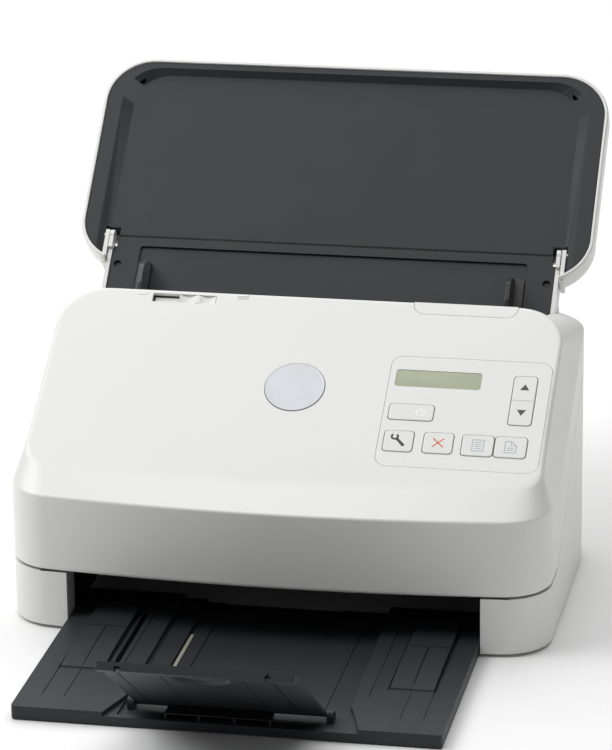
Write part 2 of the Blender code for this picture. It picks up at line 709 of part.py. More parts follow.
def control_panel():
    """The flush panel with its display window and its buttons, each on a flange that keeps it in."""
    outline = rectangle(inset_span(PANEL_X, GAP), inset_span(PANEL_S, GAP), 2.2)
    panel = prism(outline, "Z", (-2.4, 0.0))
    for x, s in (*BUTTONS.values(), (DISPLAY_X, DISPLAY_S)):
        cut(panel, prism(rectangle(inset_span(x, -0.15), inset_span(s, -0.15), 1.6), "Z", (-4.0, 2.0)))
    add_part("control_panel", moved(panel, SLOPE_FRAME), "panel_plastic")
    window = prism(rectangle(inset_span(DISPLAY_X, GAP), inset_span(DISPLAY_S, GAP), 1.4), "Z", (-5.0, -0.3))
    add_part("display", moved(window, SLOPE_FRAME), "display")
    for name, (x, s) in BUTTONS.items():
        top = 0.3
        cap = prism(rectangle(inset_span(x, 0.15), inset_span(s, 0.15), 1.4), "Z", (-3.4, top))
        join(cap, block(inset_span(x, 1.0), inset_span(s, -1.0), (-4.4, -3.2)))
        add_part(name, moved(cap, SLOPE_FRAME), "button_plastic")
    board = block((55.0, 142.0), (14.0, 84.0), (-8.6, -7.0))
    add_part("control_board", moved(board, SLOPE_FRAME), "circuit_board")


def emblem_disc():
    """A plain round badge in a shallow seat on the slope."""
    add_part("emblem_disc", moved(disc(17.4, (0.0, 60.5), (-0.7, 0.4), 40), SLOPE_FRAME), "emblem")


def cover_latch():
    """The release tab on the cover's top edge, which tilts up about its lower edge."""
    span = (LATCH_S[0] + GAP, SLOPE_LENGTH)
    outline = rectangle(inset_span(LATCH_X, GAP), span, (6.7, 6.7, 0, 0))
    tab = prism(outline, "Z", (-2.4, 0.0))
    join(tab, block((LATCH_X[0] + 10, LATCH_X[1] - 10), (125.2, SLOPE_LENGTH), (-4.4, -2.0)))
    add_part("cover_latch", moved(tab, SLOPE_FRAME), "white_plastic")


def separation_switch():
    """The slider beside the feed opening, with two finger hollows and a ridge between them."""
    span = (-78.4, SWITCH_X[1] - GAP)
    slider = block(span, inset_span(SWITCH_S, GAP), (-3.4, 0.0))
    for x in (-73.4, -61.6):
        hollow = rod(9.0, (118.0, 126.0), (0.0, 0.0))
        cut(slider, moved(hollow, Matrix.Translation((x * MM, 0, 7.6 * MM)) @ QUARTER))
    join(slider, block((-93.5, -57.8), (119.2, 124.0), (-4.6, -3.2)))
    add_part("separation_switch", moved(slider, SLOPE_FRAME), "button_plastic")


def cover_frame():
    """The cover's inner plate along the paper path, with the wall of the feed opening and the roller tabs."""
    band = [on_path(6.0, PATH_GAP), on_path(134.0, PATH_GAP), (-97.0, 39.0), (-97.0, 41.6)]
    band += [on_path(132.0, PATH_GAP + 3.0), on_path(6.0, PATH_GAP + 3.0)]
    frame = prism(band, "X", (-118.0, 118.0))
    foot = on_path(6.0, PATH_GAP)
    wall = [foot, on_path(9.0, PATH_GAP + 2.0), (19.0, 128.0)]
    wall += [(19.0, 154.0), (21.8, 154.0), (foot[0], 130.0)]
    join(frame, prism(wall, "X", (-135.8, 135.8)))
    window = block((-30.0, 30.0), (-14.0, 9.0), (-1.0, 30.0))
    cut(frame, moved(window, PATH_FRAME))
    for t, half in ((FEED_AT, 42.0), (EXIT_AT, 58.0)):
        for x in (-half, half):
            window = block((x - 12.0, x + 12.0), (-t - 7.3, -t + 7.3), (1.0, 9.0))
            cut(frame, moved(window, PATH_FRAME))
        for side in (-1, 1):
            near, far = side * (half + 12.6), side * (half + 15.6)
            tab = block(sorted((near, far)), (-t - 4.0, -t + 4.0), (PATH_GAP + 1.0, 12.0))
            join(frame, moved(tab, PATH_FRAME))
            middle = (near + far) / 2
            cut(frame, rod(2.0 + GAP, (middle - 3, middle + 3), on_path(t, PINCH_HEIGHT)))
    for side in (-1, 1):
        near, far = side * 30.6, side * 33.6
        tab = block(sorted((near, far)), (-14.0, 4.0), (PATH_GAP + 1.5, 14.0))
        join(frame, moved(tab, PATH_FRAME))
        middle = (near + far) / 2
        cut(frame, rod(SHAFT + GAP, (middle - 3, middle + 3), on_path(PICK_AT, SEPARATOR_HEIGHT)))
    window = block((-110.5, 110.5), (-GLASS_AT[1] - GAP, -GLASS_AT[0] + GAP), (1.0, 9.0))
    cut(frame, moved(window, PATH_FRAME))
    add_part("cover_frame", frame, "dark_plastic")


def upper_rollers():
    """The separation roller over the pick roller, and a sprung roller over each driven one."""
    roller("separation_roller", on_path(PICK_AT, SEPARATOR_HEIGHT), [(-26.0, 26.0)], (-35.0, 35.0))
    for name, t, half in (("feed_pinch_roller", FEED_AT, 42.0), ("exit_pinch_roller", EXIT_AT, 58.0)):
        tyres = [(-half - 10.0, -half + 10.0), (half - 10.0, half + 10.0)]
        ends = (-half - 17.0, half + 17.0)
        roller(name, on_path(t, PINCH_HEIGHT), tyres, ends, PINCH, 2.0)


# Input tray


def tray_point(s, n):
    """(y, z) of a point in the input tray's frame."""
    return (
        FLAP_AXIS[0] + s * math.cos(LEAN) - n * math.sin(LEAN),
        FLAP_AXIS[1] + s * math.sin(LEAN) + n * math.cos(LEAN),
    )


def arm_slots(item):
    """Clears the side frames' tops from the foot of the arm."""
    for side in (-1, 1):
        span = sorted((side * (FRAME_X[0] - 0.4), side * (FRAME_X[1] + 0.4)))
        cut(item, block(span, (-70.0, -46.0), (-22.0, 6.0)))
    return item


def tray_arm():
    """The arm's dark front plate, with a shallow field where the paper guides run."""
    plate = prism(rectangle((-133.4, 133.4), (-ARM_LENGTH, -0.4), (4.0, 4.0, 0, 0)), "Z", (-3.6, 0.0))
    cut(plate, block((-117.0, 117.0), (-70.0, -6.0), (-1.4, 2.0)))
    cut(plate, block((-114.0, -12.0), (RACK_S - 3.0, RACK_S + 3.0), (-6.0, 2.0)))
    cut(plate, block((12.0, 114.0), (RACK_S - 3.0, RACK_S + 3.0), (-6.0, 2.0)))
    for side in (-1, 1):
        cut(plate, disc(2.4, (side * 129.3, -19.0), (-1.6, 2.0), 16))
        cut(plate, block(sorted((side * 131.5, side * 140.0)), (-7.0, 2.0), (-6.0, 3.0)))
    join(plate, disc(2.2, (0.0, RACK_S), (-6.8, -2.0), 16))
    add_part("arm_plate", moved(arm_slots(plate), TRAY_FRAME), "dark_plastic")


def arm_shell():
    """The arm's white back, with a side rail and a hinge ear at each side and a pivot lug below."""
    shell = block((-ARM_HALF, ARM_HALF), (-50.0, -5.5), (-12.0, -9.6))
    for side in (-1, 1):
        rail = sorted((side * 133.8, side * ARM_HALF))
        join(shell, block(rail, (-56.0, -3.6), (-12.0, 1.0)))
        join(shell, rod(3.6, rail, (0.0, 0.0)))
        join(shell, block(rail, (-9.0, 0.0), (-3.2, 3.2)))
        lug = sorted((side * 124.6, side * 128.0))
        join(shell, block(lug, (-61.0, -45.0), (-12.0, -4.4)))
        bore = sorted((side * 130.0, side * 140.0))
        cut(shell, rod(1.8 + GAP, bore, (0.0, 0.0), 16))
        bore = sorted((side * 120.0, side * 130.0))
        cut(shell, rod(2.0 + GAP, bore, ARM_PIVOT, 16))
    add_part("arm_shell", moved(arm_slots(shell), TRAY_FRAME), "white_plastic")


def arm_pins():
    for label, side in (("left", -1), ("right", 1)):
        ends = sorted((side * 119.0, side * 129.0))
        add_part("arm_pin_" + label, rod(2.0, ends, tray_point(*ARM_PIVOT), 16), "steel")
        ends = sorted((side * 134.2, side * 144.0))
        add_part("flap_pin_" + label, rod(1.8, ends, FLAP_AXIS, 16), "steel")


def rack_outline(first, last, line, towards):
    """A bar with teeth on one side. towards is 1 when they point to larger s."""
    pitch = math.pi * MODULE
    outline = [(first, line - towards * 5.0), (first, line - towards * 1.1)]
    count = int((last - first - 2.0) / pitch)
    start = math.ceil((first + 1.0) / pitch)
    for k in range(start, start + count):
        middle = k * pitch
        for across, up in ((-1.15, -1.1), (-0.30, 0.8), (0.30, 0.8), (1.15, -1.1)):
            outline.append((middle + across, line + towards * up))
    outline += [(last, line - towards * 1.1), (last, line - towards * 5.0)]
    return outline


def paper_guides():
    """Two upright guides on racks that one pinion moves in opposite directions."""
    reach = GUIDE_TEETH * MODULE / 2
    for label, side in (("left", -1), ("right", 1)):
        line = RACK_S - side * reach
        ends = sorted((side * 113.0, -side * 12.0))
        rack = prism(rack_outline(ends[0], ends[1], line, side), "Z", (-6.6, -4.2))
        foot_x = sorted((side * 109.0, side * 113.6))
        foot = block(foot_x, (RACK_S - 2.6, RACK_S + 2.6), (-5.2, 0.8))
        bridge_s = sorted((RACK_S + side * 2.6, RACK_S - side * 6.3))
        bridge = block(sorted((side * 104.0, side * 113.6)), bridge_s, (-6.4, -4.4))
        fin = [(-50.0, -1.0), (-50.0, 13.0), (-44.0, 17.0), (-28.0, 17.0), (-21.0, 9.0), (-18.0, -1.0)]
        fin = prism(fin, "X", sorted((side * PAPER_HALF, side * 111.0)))
        shoe = block(sorted((side * PAPER_HALF, side * 116.4)), (-52.0, -17.0), (-1.1, 0.9))
        join(rack, foot, bridge, fin, shoe, solver="MANIFOLD")
        add_part("paper_guide_" + label, moved(rack, TRAY_FRAME), "black_plastic")
    phase = math.pi / GUIDE_TEETH + math.pi / 2
    pinion = prism(gear_outline(GUIDE_TEETH, (0.0, RACK_S), phase), "Z", (-6.6, -4.2))
    cut(pinion, disc(2.2 + GAP, (0.0, RACK_S), (-8.0, 0.0), 16))
    add_part("guide_pinion", moved(pinion, TRAY_FRAME), "gear_plastic")


def flap_outline(inset):
    x, s = (-FLAP_HALF + inset, FLAP_HALF - inset), (FLAP_EAR + inset, FLAP_TOP - inset)
    return rectangle(x, s, FLAP_CORNER - inset, 6)


def tray_flap():
    """The wide flap: a white back shell around a dark dish, with ears beside the arm."""
    shell = prism(flap_outline(0.0), "Z", (-12.0, 5.0))
    cut(shell, prism(flap_outline(2.2), "Z", (-9.6, 8.0)))
    cut(shell, block((-136.8, 136.8), (-40.0, 0.8), (-20.0, 20.0)))
    for side in (-1, 1):
        ear = sorted((side * 136.8, side * 139.2))
        join(shell, block(ear, (-18.4, 3.0), (-11.0, 2.6)))
        cut(shell, rod(1.8 + GAP, sorted((side * 135.0, side * 146.0)), (0.0, 0.0), 16))
    add_part("flap_shell", moved(shell, TRAY_FRAME), "white_plastic")
    plate = prism(flap_outline(2.5), "Z", (-9.2, 4.2))
    dish = rectangle((-137.0, 137.0), (-30.0, FLAP_TOP - 9.0), (0, 0, 22.0, 22.0), 5)
    rim = [(x * 1.068, s + (4.0 if s > 40 else -4.0)) for x, s in dish]
    bowl = loft([[(x, s, 0.0) for x, s in dish], [(x, s, 6.0) for x, s in rim]])
    cut(plate, bowl)
    cut(plate, block((-136.8, 136.8), (-40.0, 1.0), (-20.0, 20.0)))
    for side in (-1, 1):
        cut(plate, block(sorted((side * 131.0, side * 139.6)), (-40.0, 6.0), (-20.0, 20.0)))
        cut(plate, block(sorted((side * 136.0, side * 146.0)), (-24.0, 5.0), (-20.0, 20.0)))
        cut(plate, disc(2.4, (side * 133.5, 110.0), (-1.6, 2.0), 16))
    add_part("flap_plate", moved(plate, TRAY_FRAME), "dark_plastic")


# Output tray


def output_tray():
    """The sliding tray: raised side areas, a centre channel for the stop, and tongues for the rails."""
    outline = rectangle((-TRAY_HALF, TRAY_HALF), (TRAY_FRONT, TRAY_BACK), 1.5, 2)
    tray = prism(outline, "Z", (TRAY_BOTTOM, TRAY_TOP))
    rear_half = CHANNEL_HALF - 4.0
    channel = [(-CHANNEL_HALF, -229.0), (CHANNEL_HALF, -229.0), (rear_half, -50.0), (-rear_half, -50.0)]
    cut(tray, prism(channel, "Z", (CHANNEL_FLOOR, 12.0)))
    for side in (-1, 1):
        pad = [(-176.0, TRAY_TOP - 1.0), (-176.0, TRAY_TOP), (-150.0, 10.4), (-80.0, 10.4), (-74.0, 7.2)]
        join(tray, prism(pad, "X", sorted((side * 80.0, side * 103.0))))
        tongue = sorted((side * 115.0, side * (TRAY_HALF + 2.1)))
        join(tray, block(tongue, (-101.0, TRAY_BACK), (3.1, 5.1)))
        ear = sorted((side * (STOP_HALF + 0.8), side * (STOP_HALF + 4.4)))
        join(tray, block(ear, (STOP_AXIS[0] - 4.0, STOP_AXIS[0] + 4.0), (3.0, STOP_AXIS[1] + 4.0)))
        cut(tray, rod(STOP_PIN + GAP, (ear[0] - 0.4, ear[1] + 0.4), STOP_AXIS, 12))
    add_part("output_tray", tray, "dark_plastic")


def paper_stop():
    """The flip up stop: a long plate that leans forward, with a thicker bar along its far end."""
    far = STOP_LENGTH - STOP_BAR
    plate = block((-STOP_HALF, STOP_HALF), (1.0, STOP_LENGTH), (-1.6, 0.6))
    recess_radius = 22.0
    recess = disc(recess_radius, (-1.0, far - 5.0 + recess_radius), (-0.4, 2.0), 40)
    cut(plate, keep(recess, block((-30.0, 30.0), (0.0, far + 0.5), (-1.0, 3.0))))
    join(plate, block((-STOP_HALF, STOP_HALF), (far, STOP_LENGTH), (-1.6, 2.6)))
    for x in (-40.8, 38.2):
        cut(plate, block((x - 1.6, x + 1.6), (far - 1.0, STOP_LENGTH + 1.0), (0.4, 4.0)))
    cut(plate, block((37.7, 38.7), (6.0, STOP_LENGTH), (-0.4, 2.0)))
    join(plate, rod(2.6, (-STOP_HALF, STOP_HALF), (0.0, 0.0), 16))
    join(plate, rod(STOP_PIN, (-STOP_HALF - 4.0, STOP_HALF + 4.0), (0.0, 0.0), 12))
    add_part("paper_stop", moved(plate, leaning(STOP_LEAN, STOP_AXIS)), "dark_plastic")


# Joints and the final place

COVER_PIECES = [
    "cover_shell",
    "cover_frame",
    "control_panel",
    "display",
    "control_board",
    "emblem_disc",
    "scan_module_upper",
    "scan_glass_upper",
]


def pivot(name, x, centre, names, parent=None):
    """An empty on a joint's axis that carries the pieces of one moving body."""
    empty = bpy.data.objects.new(name, None)
    empty.empty_display_size = 0.01
    SCANNER.objects.link(empty)
    empty.location = (x * MM, centre[0] * MM, centre[1] * MM)
    bpy.context.view_layer.update()
    if parent:
        attach(empty, pivots[parent])
    for piece in names:
        attach(parts[piece], empty)
    pivots[name] = empty


def attach(item, parent):
    bpy.context.view_layer.update()
    item.parent = parent
    item.matrix_parent_inverse = parent.matrix_world.inverted()


def slope_point(s, n):
    return (
        SLOPE_START[0] + s * math.cos(SLOPE) - n * math.sin(SLOPE),
        SLOPE_START[1] + s * math.sin(SLOPE) + n * math.cos(SLOPE),
    )


def make_pivots():
    pivot("cover_axis", 0.0, HINGE, COVER_PIECES)
    pivot("latch_axis", 90.0, slope_point(LATCH_S[0] + 1.0, -1.5), ["cover_latch"], "cover_axis")
    pivot("switch_place", -67.0, slope_point(121.6, 0.0), ["separation_switch"], "cover_axis")
    for name, (x, s) in BUTTONS.items():
        centre = slope_point(sum(s) / 2, -2.0)
        pivot(name + "_place", sum(x) / 2, centre, [name], "cover_axis")
    pivot("separation_axis", 0.0, on_path(PICK_AT, SEPARATOR_HEIGHT), ["separation_roller"], "cover_axis")
    pivot("feed_pinch_axis", 0.0, on_path(FEED_AT, PINCH_HEIGHT), ["feed_pinch_roller"], "cover_axis")
    pivot("exit_pinch_axis", 0.0, on_path(EXIT_AT, PINCH_HEIGHT), ["exit_pinch_roller"], "cover_axis")
    pivot("pick_axis", 0.0, PICK, ["pick_roller", "pick_gear"])
    pivot("feed_axis", 0.0, FEED, ["feed_roller", "feed_gear"])
    pivot("exit_axis", 0.0, EXIT, ["exit_roller", "exit_gear"])
    pivot("small_idler_axis", 126.8, SMALL_IDLER, ["small_idler_gear"])
    pivot("large_idler_axis", 126.8, LARGE_IDLER, ["large_idler_gear"])
    pivot("motor_axis", 126.8, MOTOR, ["motor_pinion"])
    arm = ["arm_plate", "arm_shell", "flap_pin_left", "flap_pin_right"]
    pivot("arm_axis", 0.0, tray_point(*ARM_PIVOT), arm)
    pivot("guide_left_place", -110.0, tray_point(RACK_S, 0.0), ["paper_guide_left"], "arm_axis")
    pivot("guide_right_place", 110.0, tray_point(RACK_S, 0.0), ["paper_guide_right"], "arm_axis")
    pivot("guide_pinion_axis", 0.0, tray_point(RACK_S, 0.0), ["guide_pinion"], "arm_axis")
    pivot("flap_axis", 0.0, FLAP_AXIS, ["flap_shell", "flap_plate"], "arm_axis")
    pivot("output_tray_place", 0.0, (TRAY_FRONT, TRAY_TOP), ["output_tray"])
    pivot("stop_axis", 0.0, STOP_AXIS, ["paper_stop"], "output_tray_place")


def centre_over_origin():
    """Moves everything in Y so that the origin is under the middle of the whole object."""
    bpy.context.view_layer.update()
    ends = [(item.matrix_world @ vertex.co).y for item in parts.values() for vertex in item.data.vertices]
    shift = -(min(ends) + max(ends)) / 2
    for item in SCANNER.objects:
        if item.parent is None:
            item.location.y += shift
    print(f"moved {shift / MM:.3f} mm in Y")


clear_scene()
WORKSHOP = make_collection("workshop")
SCANNER = make_collection("document_scanner")
MATERIALS = {name: make_material(name) for name in COLOURS}

base_housing()
feet()
rear_cap()
rear_panel()
main_board()
sockets()
side_frames()
lower_guide()
lower_rollers()
scan_modules()
drive_motor()
gear_train()
cover_hinges()
cover_shell()
cover_frame()
control_panel()
emblem_disc()
cover_latch()
separation_switch()
upper_rollers()
tray_arm()
arm_shell()
arm_pins()
paper_guides()
tray_flap()
output_tray()
paper_stop()
make_pivots()
centre_over_origin()
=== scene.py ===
import json
import math

import bmesh
import bpy
from mathutils import Matrix, Vector


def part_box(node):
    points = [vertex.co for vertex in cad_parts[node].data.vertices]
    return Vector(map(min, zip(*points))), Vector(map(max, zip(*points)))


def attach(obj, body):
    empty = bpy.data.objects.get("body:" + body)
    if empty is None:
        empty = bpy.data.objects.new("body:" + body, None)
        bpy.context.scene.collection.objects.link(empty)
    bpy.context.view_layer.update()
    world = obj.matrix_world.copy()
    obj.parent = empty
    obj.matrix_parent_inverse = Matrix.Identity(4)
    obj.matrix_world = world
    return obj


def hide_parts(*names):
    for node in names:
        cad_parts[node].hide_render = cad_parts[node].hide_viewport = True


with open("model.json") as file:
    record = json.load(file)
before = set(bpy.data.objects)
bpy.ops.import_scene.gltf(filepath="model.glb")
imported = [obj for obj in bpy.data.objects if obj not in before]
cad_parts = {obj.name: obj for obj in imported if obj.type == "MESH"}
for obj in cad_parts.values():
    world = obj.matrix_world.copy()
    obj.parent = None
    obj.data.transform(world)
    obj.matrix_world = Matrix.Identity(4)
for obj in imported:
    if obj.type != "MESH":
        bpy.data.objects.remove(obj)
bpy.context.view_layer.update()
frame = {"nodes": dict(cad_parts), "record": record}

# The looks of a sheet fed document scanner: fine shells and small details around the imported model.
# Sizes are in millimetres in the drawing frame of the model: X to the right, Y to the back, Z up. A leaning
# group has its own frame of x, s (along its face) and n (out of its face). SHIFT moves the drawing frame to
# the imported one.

MM = 0.001

# The body: its front and rear, its corners, and the seam between the cover above and the base below.
HALF_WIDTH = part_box("base_housing")[1].x / MM
FRONT = -113.0
REAR = 85.0
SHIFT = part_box("rear_panel")[1].y - REAR * MM
BOW_ANGLE = math.radians(6.6)
CORNER_FRONT = 28.0
CORNER_REAR = 38.0
WALL = 2.4
FRONT_SEAM = 34.5
SEAM_GAP = 1.2
SEAM_START = -58.0
SEAM_BACK = (70.0, 133.6)
BASE_BOTTOM = 2.0

# The output bay between the cheeks, the low cavity behind it, and where the painted shade inside it starts.
BAY_HALF = 118.3
BAY_BACK = -42.0
BAY_PAINTED_SHADE_FRONT = -78.0
CAVITY_BACK = 60.0

# The sloping face of the cover, and the height of the bevel's lower edge below it.
SLOPE = math.radians(32.5)
SLOPE_START = (-84.0, 95.0)
SLOPE_LENGTH = 127.5
SLOPE_HALF = 148.0
EDGE_FRONT = 80.0
EDGE_BACK = 143.0
EDGE_TURN = -53.0

# The input tray. Its frame starts on the flap's hinge and leans back.
LEAN = math.radians(43.0)
FLAP_AXIS = (88.6, 174.7)
ARM_HALF = 136.2
FLAP_HALF = 155.0
FLAP_TOP = 124.0
FLAP_EAR = -20.0
FLAP_CORNER = 30.0
FLAP_GAP_HALF = 136.8
ARM_PIVOT = (-56.0, -8.0)
ARM_LENGTH = 62.0
FRAME_X = (121.2, 123.7)
RACK_S = -39.5
GUIDE_TEETH = 10

# The output tray and the stop on it.
TRAY_HALF = 117.5
TRAY_FRONT = -233.0
TRAY_BACK = -62.0
TRAY_TOP = 8.2
STOP_AXIS = (-216.0, 8.0)
STOP_HALF = 52.0
STOP_LENGTH = 100.5
STOP_BAR = 5.0
STOP_LEAN = math.radians(145.5)

# The cover's hinge at each side.
HINGE = (-100.6, 40.0)
HINGE_X = (119.4, 122.4)
HINGE_SWEEP = 6.9

# What lies on the slope, as spans in x and s.
PANEL_X = (53.0, 145.6)
PANEL_S = (8.0, 87.3)
LATCH_X = (59.5, 120.5)
LATCH_S = (118.7, 130.0)
SWITCH_X = (-94.5, -56.5)
SWITCH_S = (118.4, 124.8)
KEYS = {
    "button_power": ((56.2, 82.2), (40.9, 52.7)),
    "button_tools": ((56.2, 73.4), (18.4, 33.4)),
    "button_cancel": ((78.8, 96.0), (18.4, 33.4)),
    "button_simplex": ((100.6, 118.85), (18.1, 33.2)),
    "button_duplex": ((119.15, 137.6), (18.1, 33.2)),
    "rocker_up_down": ((124.4, 138.0), (41.3, 76.8)),
}
DISPLAY_X = (56.8, 106.0)
DISPLAY_S = (65.2, 77.4)
KEY_CORNER = 2.2
KEY_TOP = 0.42
EMBLEM_CENTRE = (0.0, 60.5)
EMBLEM_RADIUS = 17.3

# The pockets of the feet.
FOOT_X = 132.0
FOOT_Y = (-78.0, 62.0)
FOOT_RADIUS = 6.3

# Where cutters end, clear of the walls that they cut.
AHEAD = -140.0
BEHIND = 120.0
ACROSS = (-170.0, 170.0)
THROUGH = (-6.0, 6.0)
THROUGH_REAR = (70.0, 90.0)
DECK_Z = (120.0, 160.0)


# Camera, lights and floor


def make_camera():
    """At the photograph's viewing angle: from in front, a little to the right and above."""
    azimuth, elevation, roll = (math.radians(a) for a in (11.376, 18.883, -0.705))
    level = math.cos(elevation)
    back = Vector((math.sin(azimuth) * level, -math.cos(azimuth) * level, math.sin(elevation)))
    right = (-back).cross(Vector((0, 0, 1))).normalized()
    up = right.cross(-back)
    turned_right = right * math.cos(roll) + up * math.sin(roll)
    turned_up = up * math.cos(roll) - right * math.sin(roll)
    data = bpy.data.cameras.new("camera")
    data.lens = 186.25
    data.clip_end = 20.0
    camera = bpy.data.objects.new("camera", data)
    bpy.context.scene.collection.objects.link(camera)
    turn = Matrix((turned_right, turned_up, back)).transposed().to_4x4()
    place = Vector((0.41835, -2.07944 + SHIFT, 0.8491))
    camera.matrix_world = Matrix.Translation(place) @ turn
    bpy.context.scene.camera = camera


def make_light(name, place, target, size, power):
    """A rectangular area light that points at its target."""
    data = bpy.data.lights.new(name, "AREA")
    data.shape = "RECTANGLE"
    data.size, data.size_y = size
    data.energy = power
    light = bpy.data.objects.new(name, data)
    bpy.context.scene.collection.objects.link(light)
    light.location = place
    light.rotation_mode = "QUATERNION"
    light.rotation_quaternion = (Vector(target) - Vector(place)).to_track_quat("-Z", "Y")


def make_studio():
    """A white room: a wide ceiling light, a soft key from the left and a faint fill from the right."""
    scene = bpy.context.scene
    scene.view_settings.view_transform = "Standard"
    world = bpy.data.worlds.new("studio")
    world.use_nodes = True
    background = world.node_tree.nodes["Background"]
    background.inputs["Color"].default_value = (1.0, 1.0, 1.0, 1.0)
    background.inputs["Strength"].default_value = 0.16
    scene.world = world
    make_light("ceiling", (-1.5, 2.3, 3.0), (-1.5, 2.3, 0.0), (7.0, 7.0), 238.0)
    make_light("key", (-1.5, -0.5, 1.8), (0.0, 0.0, 0.1), (1.2, 1.2), 19.0)
    make_light("side", (2.0, -0.9, 0.9), (0.0, 0.0, 0.1), (0.8, 1.2), 0.3)
    floor = block((-6000, 6000), (-4000, 8000), (-20.0, 0.0))
    floor.name = "studio_floor"
    floor.data.materials.append(make_floor_material())


def make_floor_material():
    material, nodes, links, shader = new_material("studio_floor")
    cloud = nodes.new("ShaderNodeTexNoise")
    cloud.inputs["Scale"].default_value = 3.0
    ramp = nodes.new("ShaderNodeValToRGB")
    ramp.color_ramp.elements[0].color = (0.90, 0.90, 0.90, 1.0)
    ramp.color_ramp.elements[1].color = (0.93, 0.93, 0.93, 1.0)
    links.new(cloud.outputs["Fac"], ramp.inputs["Fac"])
    links.new(ramp.outputs["Color"], shader.inputs["Base Color"])
    shader.inputs["Roughness"].default_value = 0.7
    return material


# Materials


def new_material(name):
    material = bpy.data.materials.new(name)
    material.use_nodes = True
    tree = material.node_tree
    return material, tree.nodes, tree.links, tree.nodes["Principled BSDF"]


EVEN = (1.0, 1.0, 1.0)
NOISE_LOW, NOISE_HIGH = 0.3, 0.7


def noise_in(nodes, links, scale, detail, stretch):
    """Noise in the object's own space."""
    place = nodes.new("ShaderNodeTexCoord")
    mapping = nodes.new("ShaderNodeMapping")
    mapping.inputs["Scale"].default_value = stretch
    noise = nodes.new("ShaderNodeTexNoise")
    noise.inputs["Scale"].default_value = scale
    noise.inputs["Detail"].default_value = detail
    links.new(place.outputs["Object"], mapping.inputs["Vector"])
    links.new(mapping.outputs["Vector"], noise.inputs["Vector"])
    return noise


def varied(nodes, links, target, scale, low, high, detail=3.0, stretch=EVEN):
    """Drives one input between two values, or two colours, with noise."""
    noise = noise_in(nodes, links, scale, detail, stretch)
    if isinstance(low, tuple):
        ramp = nodes.new("ShaderNodeValToRGB")
        ramp.color_ramp.elements[0].position = NOISE_LOW
        ramp.color_ramp.elements[1].position = NOISE_HIGH
        ramp.color_ramp.elements[0].color = (*low, 1.0)
        ramp.color_ramp.elements[1].color = (*high, 1.0)
        links.new(noise.outputs["Fac"], ramp.inputs["Fac"])
        links.new(ramp.outputs["Color"], target)
        return
    spread = nodes.new("ShaderNodeMapRange")
    spread.inputs["From Min"].default_value = NOISE_LOW
    spread.inputs["From Max"].default_value = NOISE_HIGH
    spread.inputs["To Min"].default_value = low
    spread.inputs["To Max"].default_value = high
    links.new(noise.outputs["Fac"], spread.inputs["Value"])
    links.new(spread.outputs["Result"], target)


def grained(nodes, links, shader, scale, strength, depth, stretch=EVEN):
    """A fine moulded or brushed surface as bump."""
    noise = noise_in(nodes, links, scale, 4.0, stretch)
    noise.inputs["Roughness"].default_value = 0.6
    bump = nodes.new("ShaderNodeBump")
    bump.inputs["Strength"].default_value = strength
    bump.inputs["Distance"].default_value = depth
    links.new(noise.outputs["Fac"], bump.inputs["Height"])
    links.new(bump.outputs["Normal"], shader.inputs["Normal"])


def tint(colour, by):
    return tuple(min(1.0, c * by) for c in colour)


def plastic(name, colour, roughness, spread, mottle, grain, strength, coat=0.0, gloss=0.5):
    """Moulded plastic: slight colour drift, uneven gloss and a fine spark eroded grain."""
    material, nodes, links, shader = new_material(name)
    pale, deep = tint(colour, 1 + mottle), tint(colour, 1 - mottle)
    varied(nodes, links, shader.inputs["Base Color"], 9.0, deep, pale)
    varied(nodes, links, shader.inputs["Roughness"], 60.0, roughness - spread, roughness + spread)
    shader.inputs["Specular IOR Level"].default_value = gloss
    shader.inputs["Coat Weight"].default_value = coat
    shader.inputs["Coat Roughness"].default_value = 0.25
    grained(nodes, links, shader, grain, strength, 0.00006)
    return material


def metal(name, colour, roughness, stretch):
    """Sheet steel or aluminium with brushing along one direction."""
    material, nodes, links, shader = new_material(name)
    shader.inputs["Metallic"].default_value = 1.0
    varied(nodes, links, shader.inputs["Base Color"], 30.0, tint(colour, 0.92), tint(colour, 1.06))
    varied(nodes, links, shader.inputs["Roughness"], 700.0, roughness - 0.08, roughness + 0.08, 5.0, stretch)
    grained(nodes, links, shader, 900.0, 0.10, 0.00005, stretch)
    return material


def rubber():
    """Dull black rubber of the rollers and feet."""
    material, nodes, links, shader = new_material("rubber")
    deep, pale = (0.035, 0.035, 0.036), (0.060, 0.060, 0.062)
    varied(nodes, links, shader.inputs["Base Color"], 120.0, deep, pale)
    varied(nodes, links, shader.inputs["Roughness"], 200.0, 0.72, 0.90)
    grained(nodes, links, shader, 2500.0, 0.35, 0.00012)
    return material


def circuit():
    """Green solder mask with a faint pattern of tracks."""
    material, nodes, links, shader = new_material("circuit_board")
    place = nodes.new("ShaderNodeTexCoord")
    tracks = nodes.new("ShaderNodeTexBrick")
    tracks.inputs["Scale"].default_value = 160.0
    tracks.inputs["Mortar Size"].default_value = 0.03
    tracks.inputs["Color1"].default_value = (0.012, 0.15, 0.060, 1.0)
    tracks.inputs["Color2"].default_value = (0.016, 0.18, 0.075, 1.0)
    tracks.inputs["Mortar"].default_value = (0.06, 0.32, 0.12, 1.0)
    links.new(place.outputs["Object"], tracks.inputs["Vector"])
    links.new(tracks.outputs["Color"], shader.inputs["Base Color"])
    varied(nodes, links, shader.inputs["Roughness"], 90.0, 0.30, 0.45)
    return material


def clear(name, colour, weight, roughness=0.05):
    """Clear or smoky plastic and glass."""
    material, nodes, links, shader = new_material(name)
    varied(nodes, links, shader.inputs["Base Color"], 20.0, tint(colour, 0.95), tint(colour, 1.03))
    varied(nodes, links, shader.inputs["Roughness"], 50.0, roughness, roughness + 0.05)
    shader.inputs["Transmission Weight"].default_value = weight
    shader.inputs["IOR"].default_value = 1.46
    return material


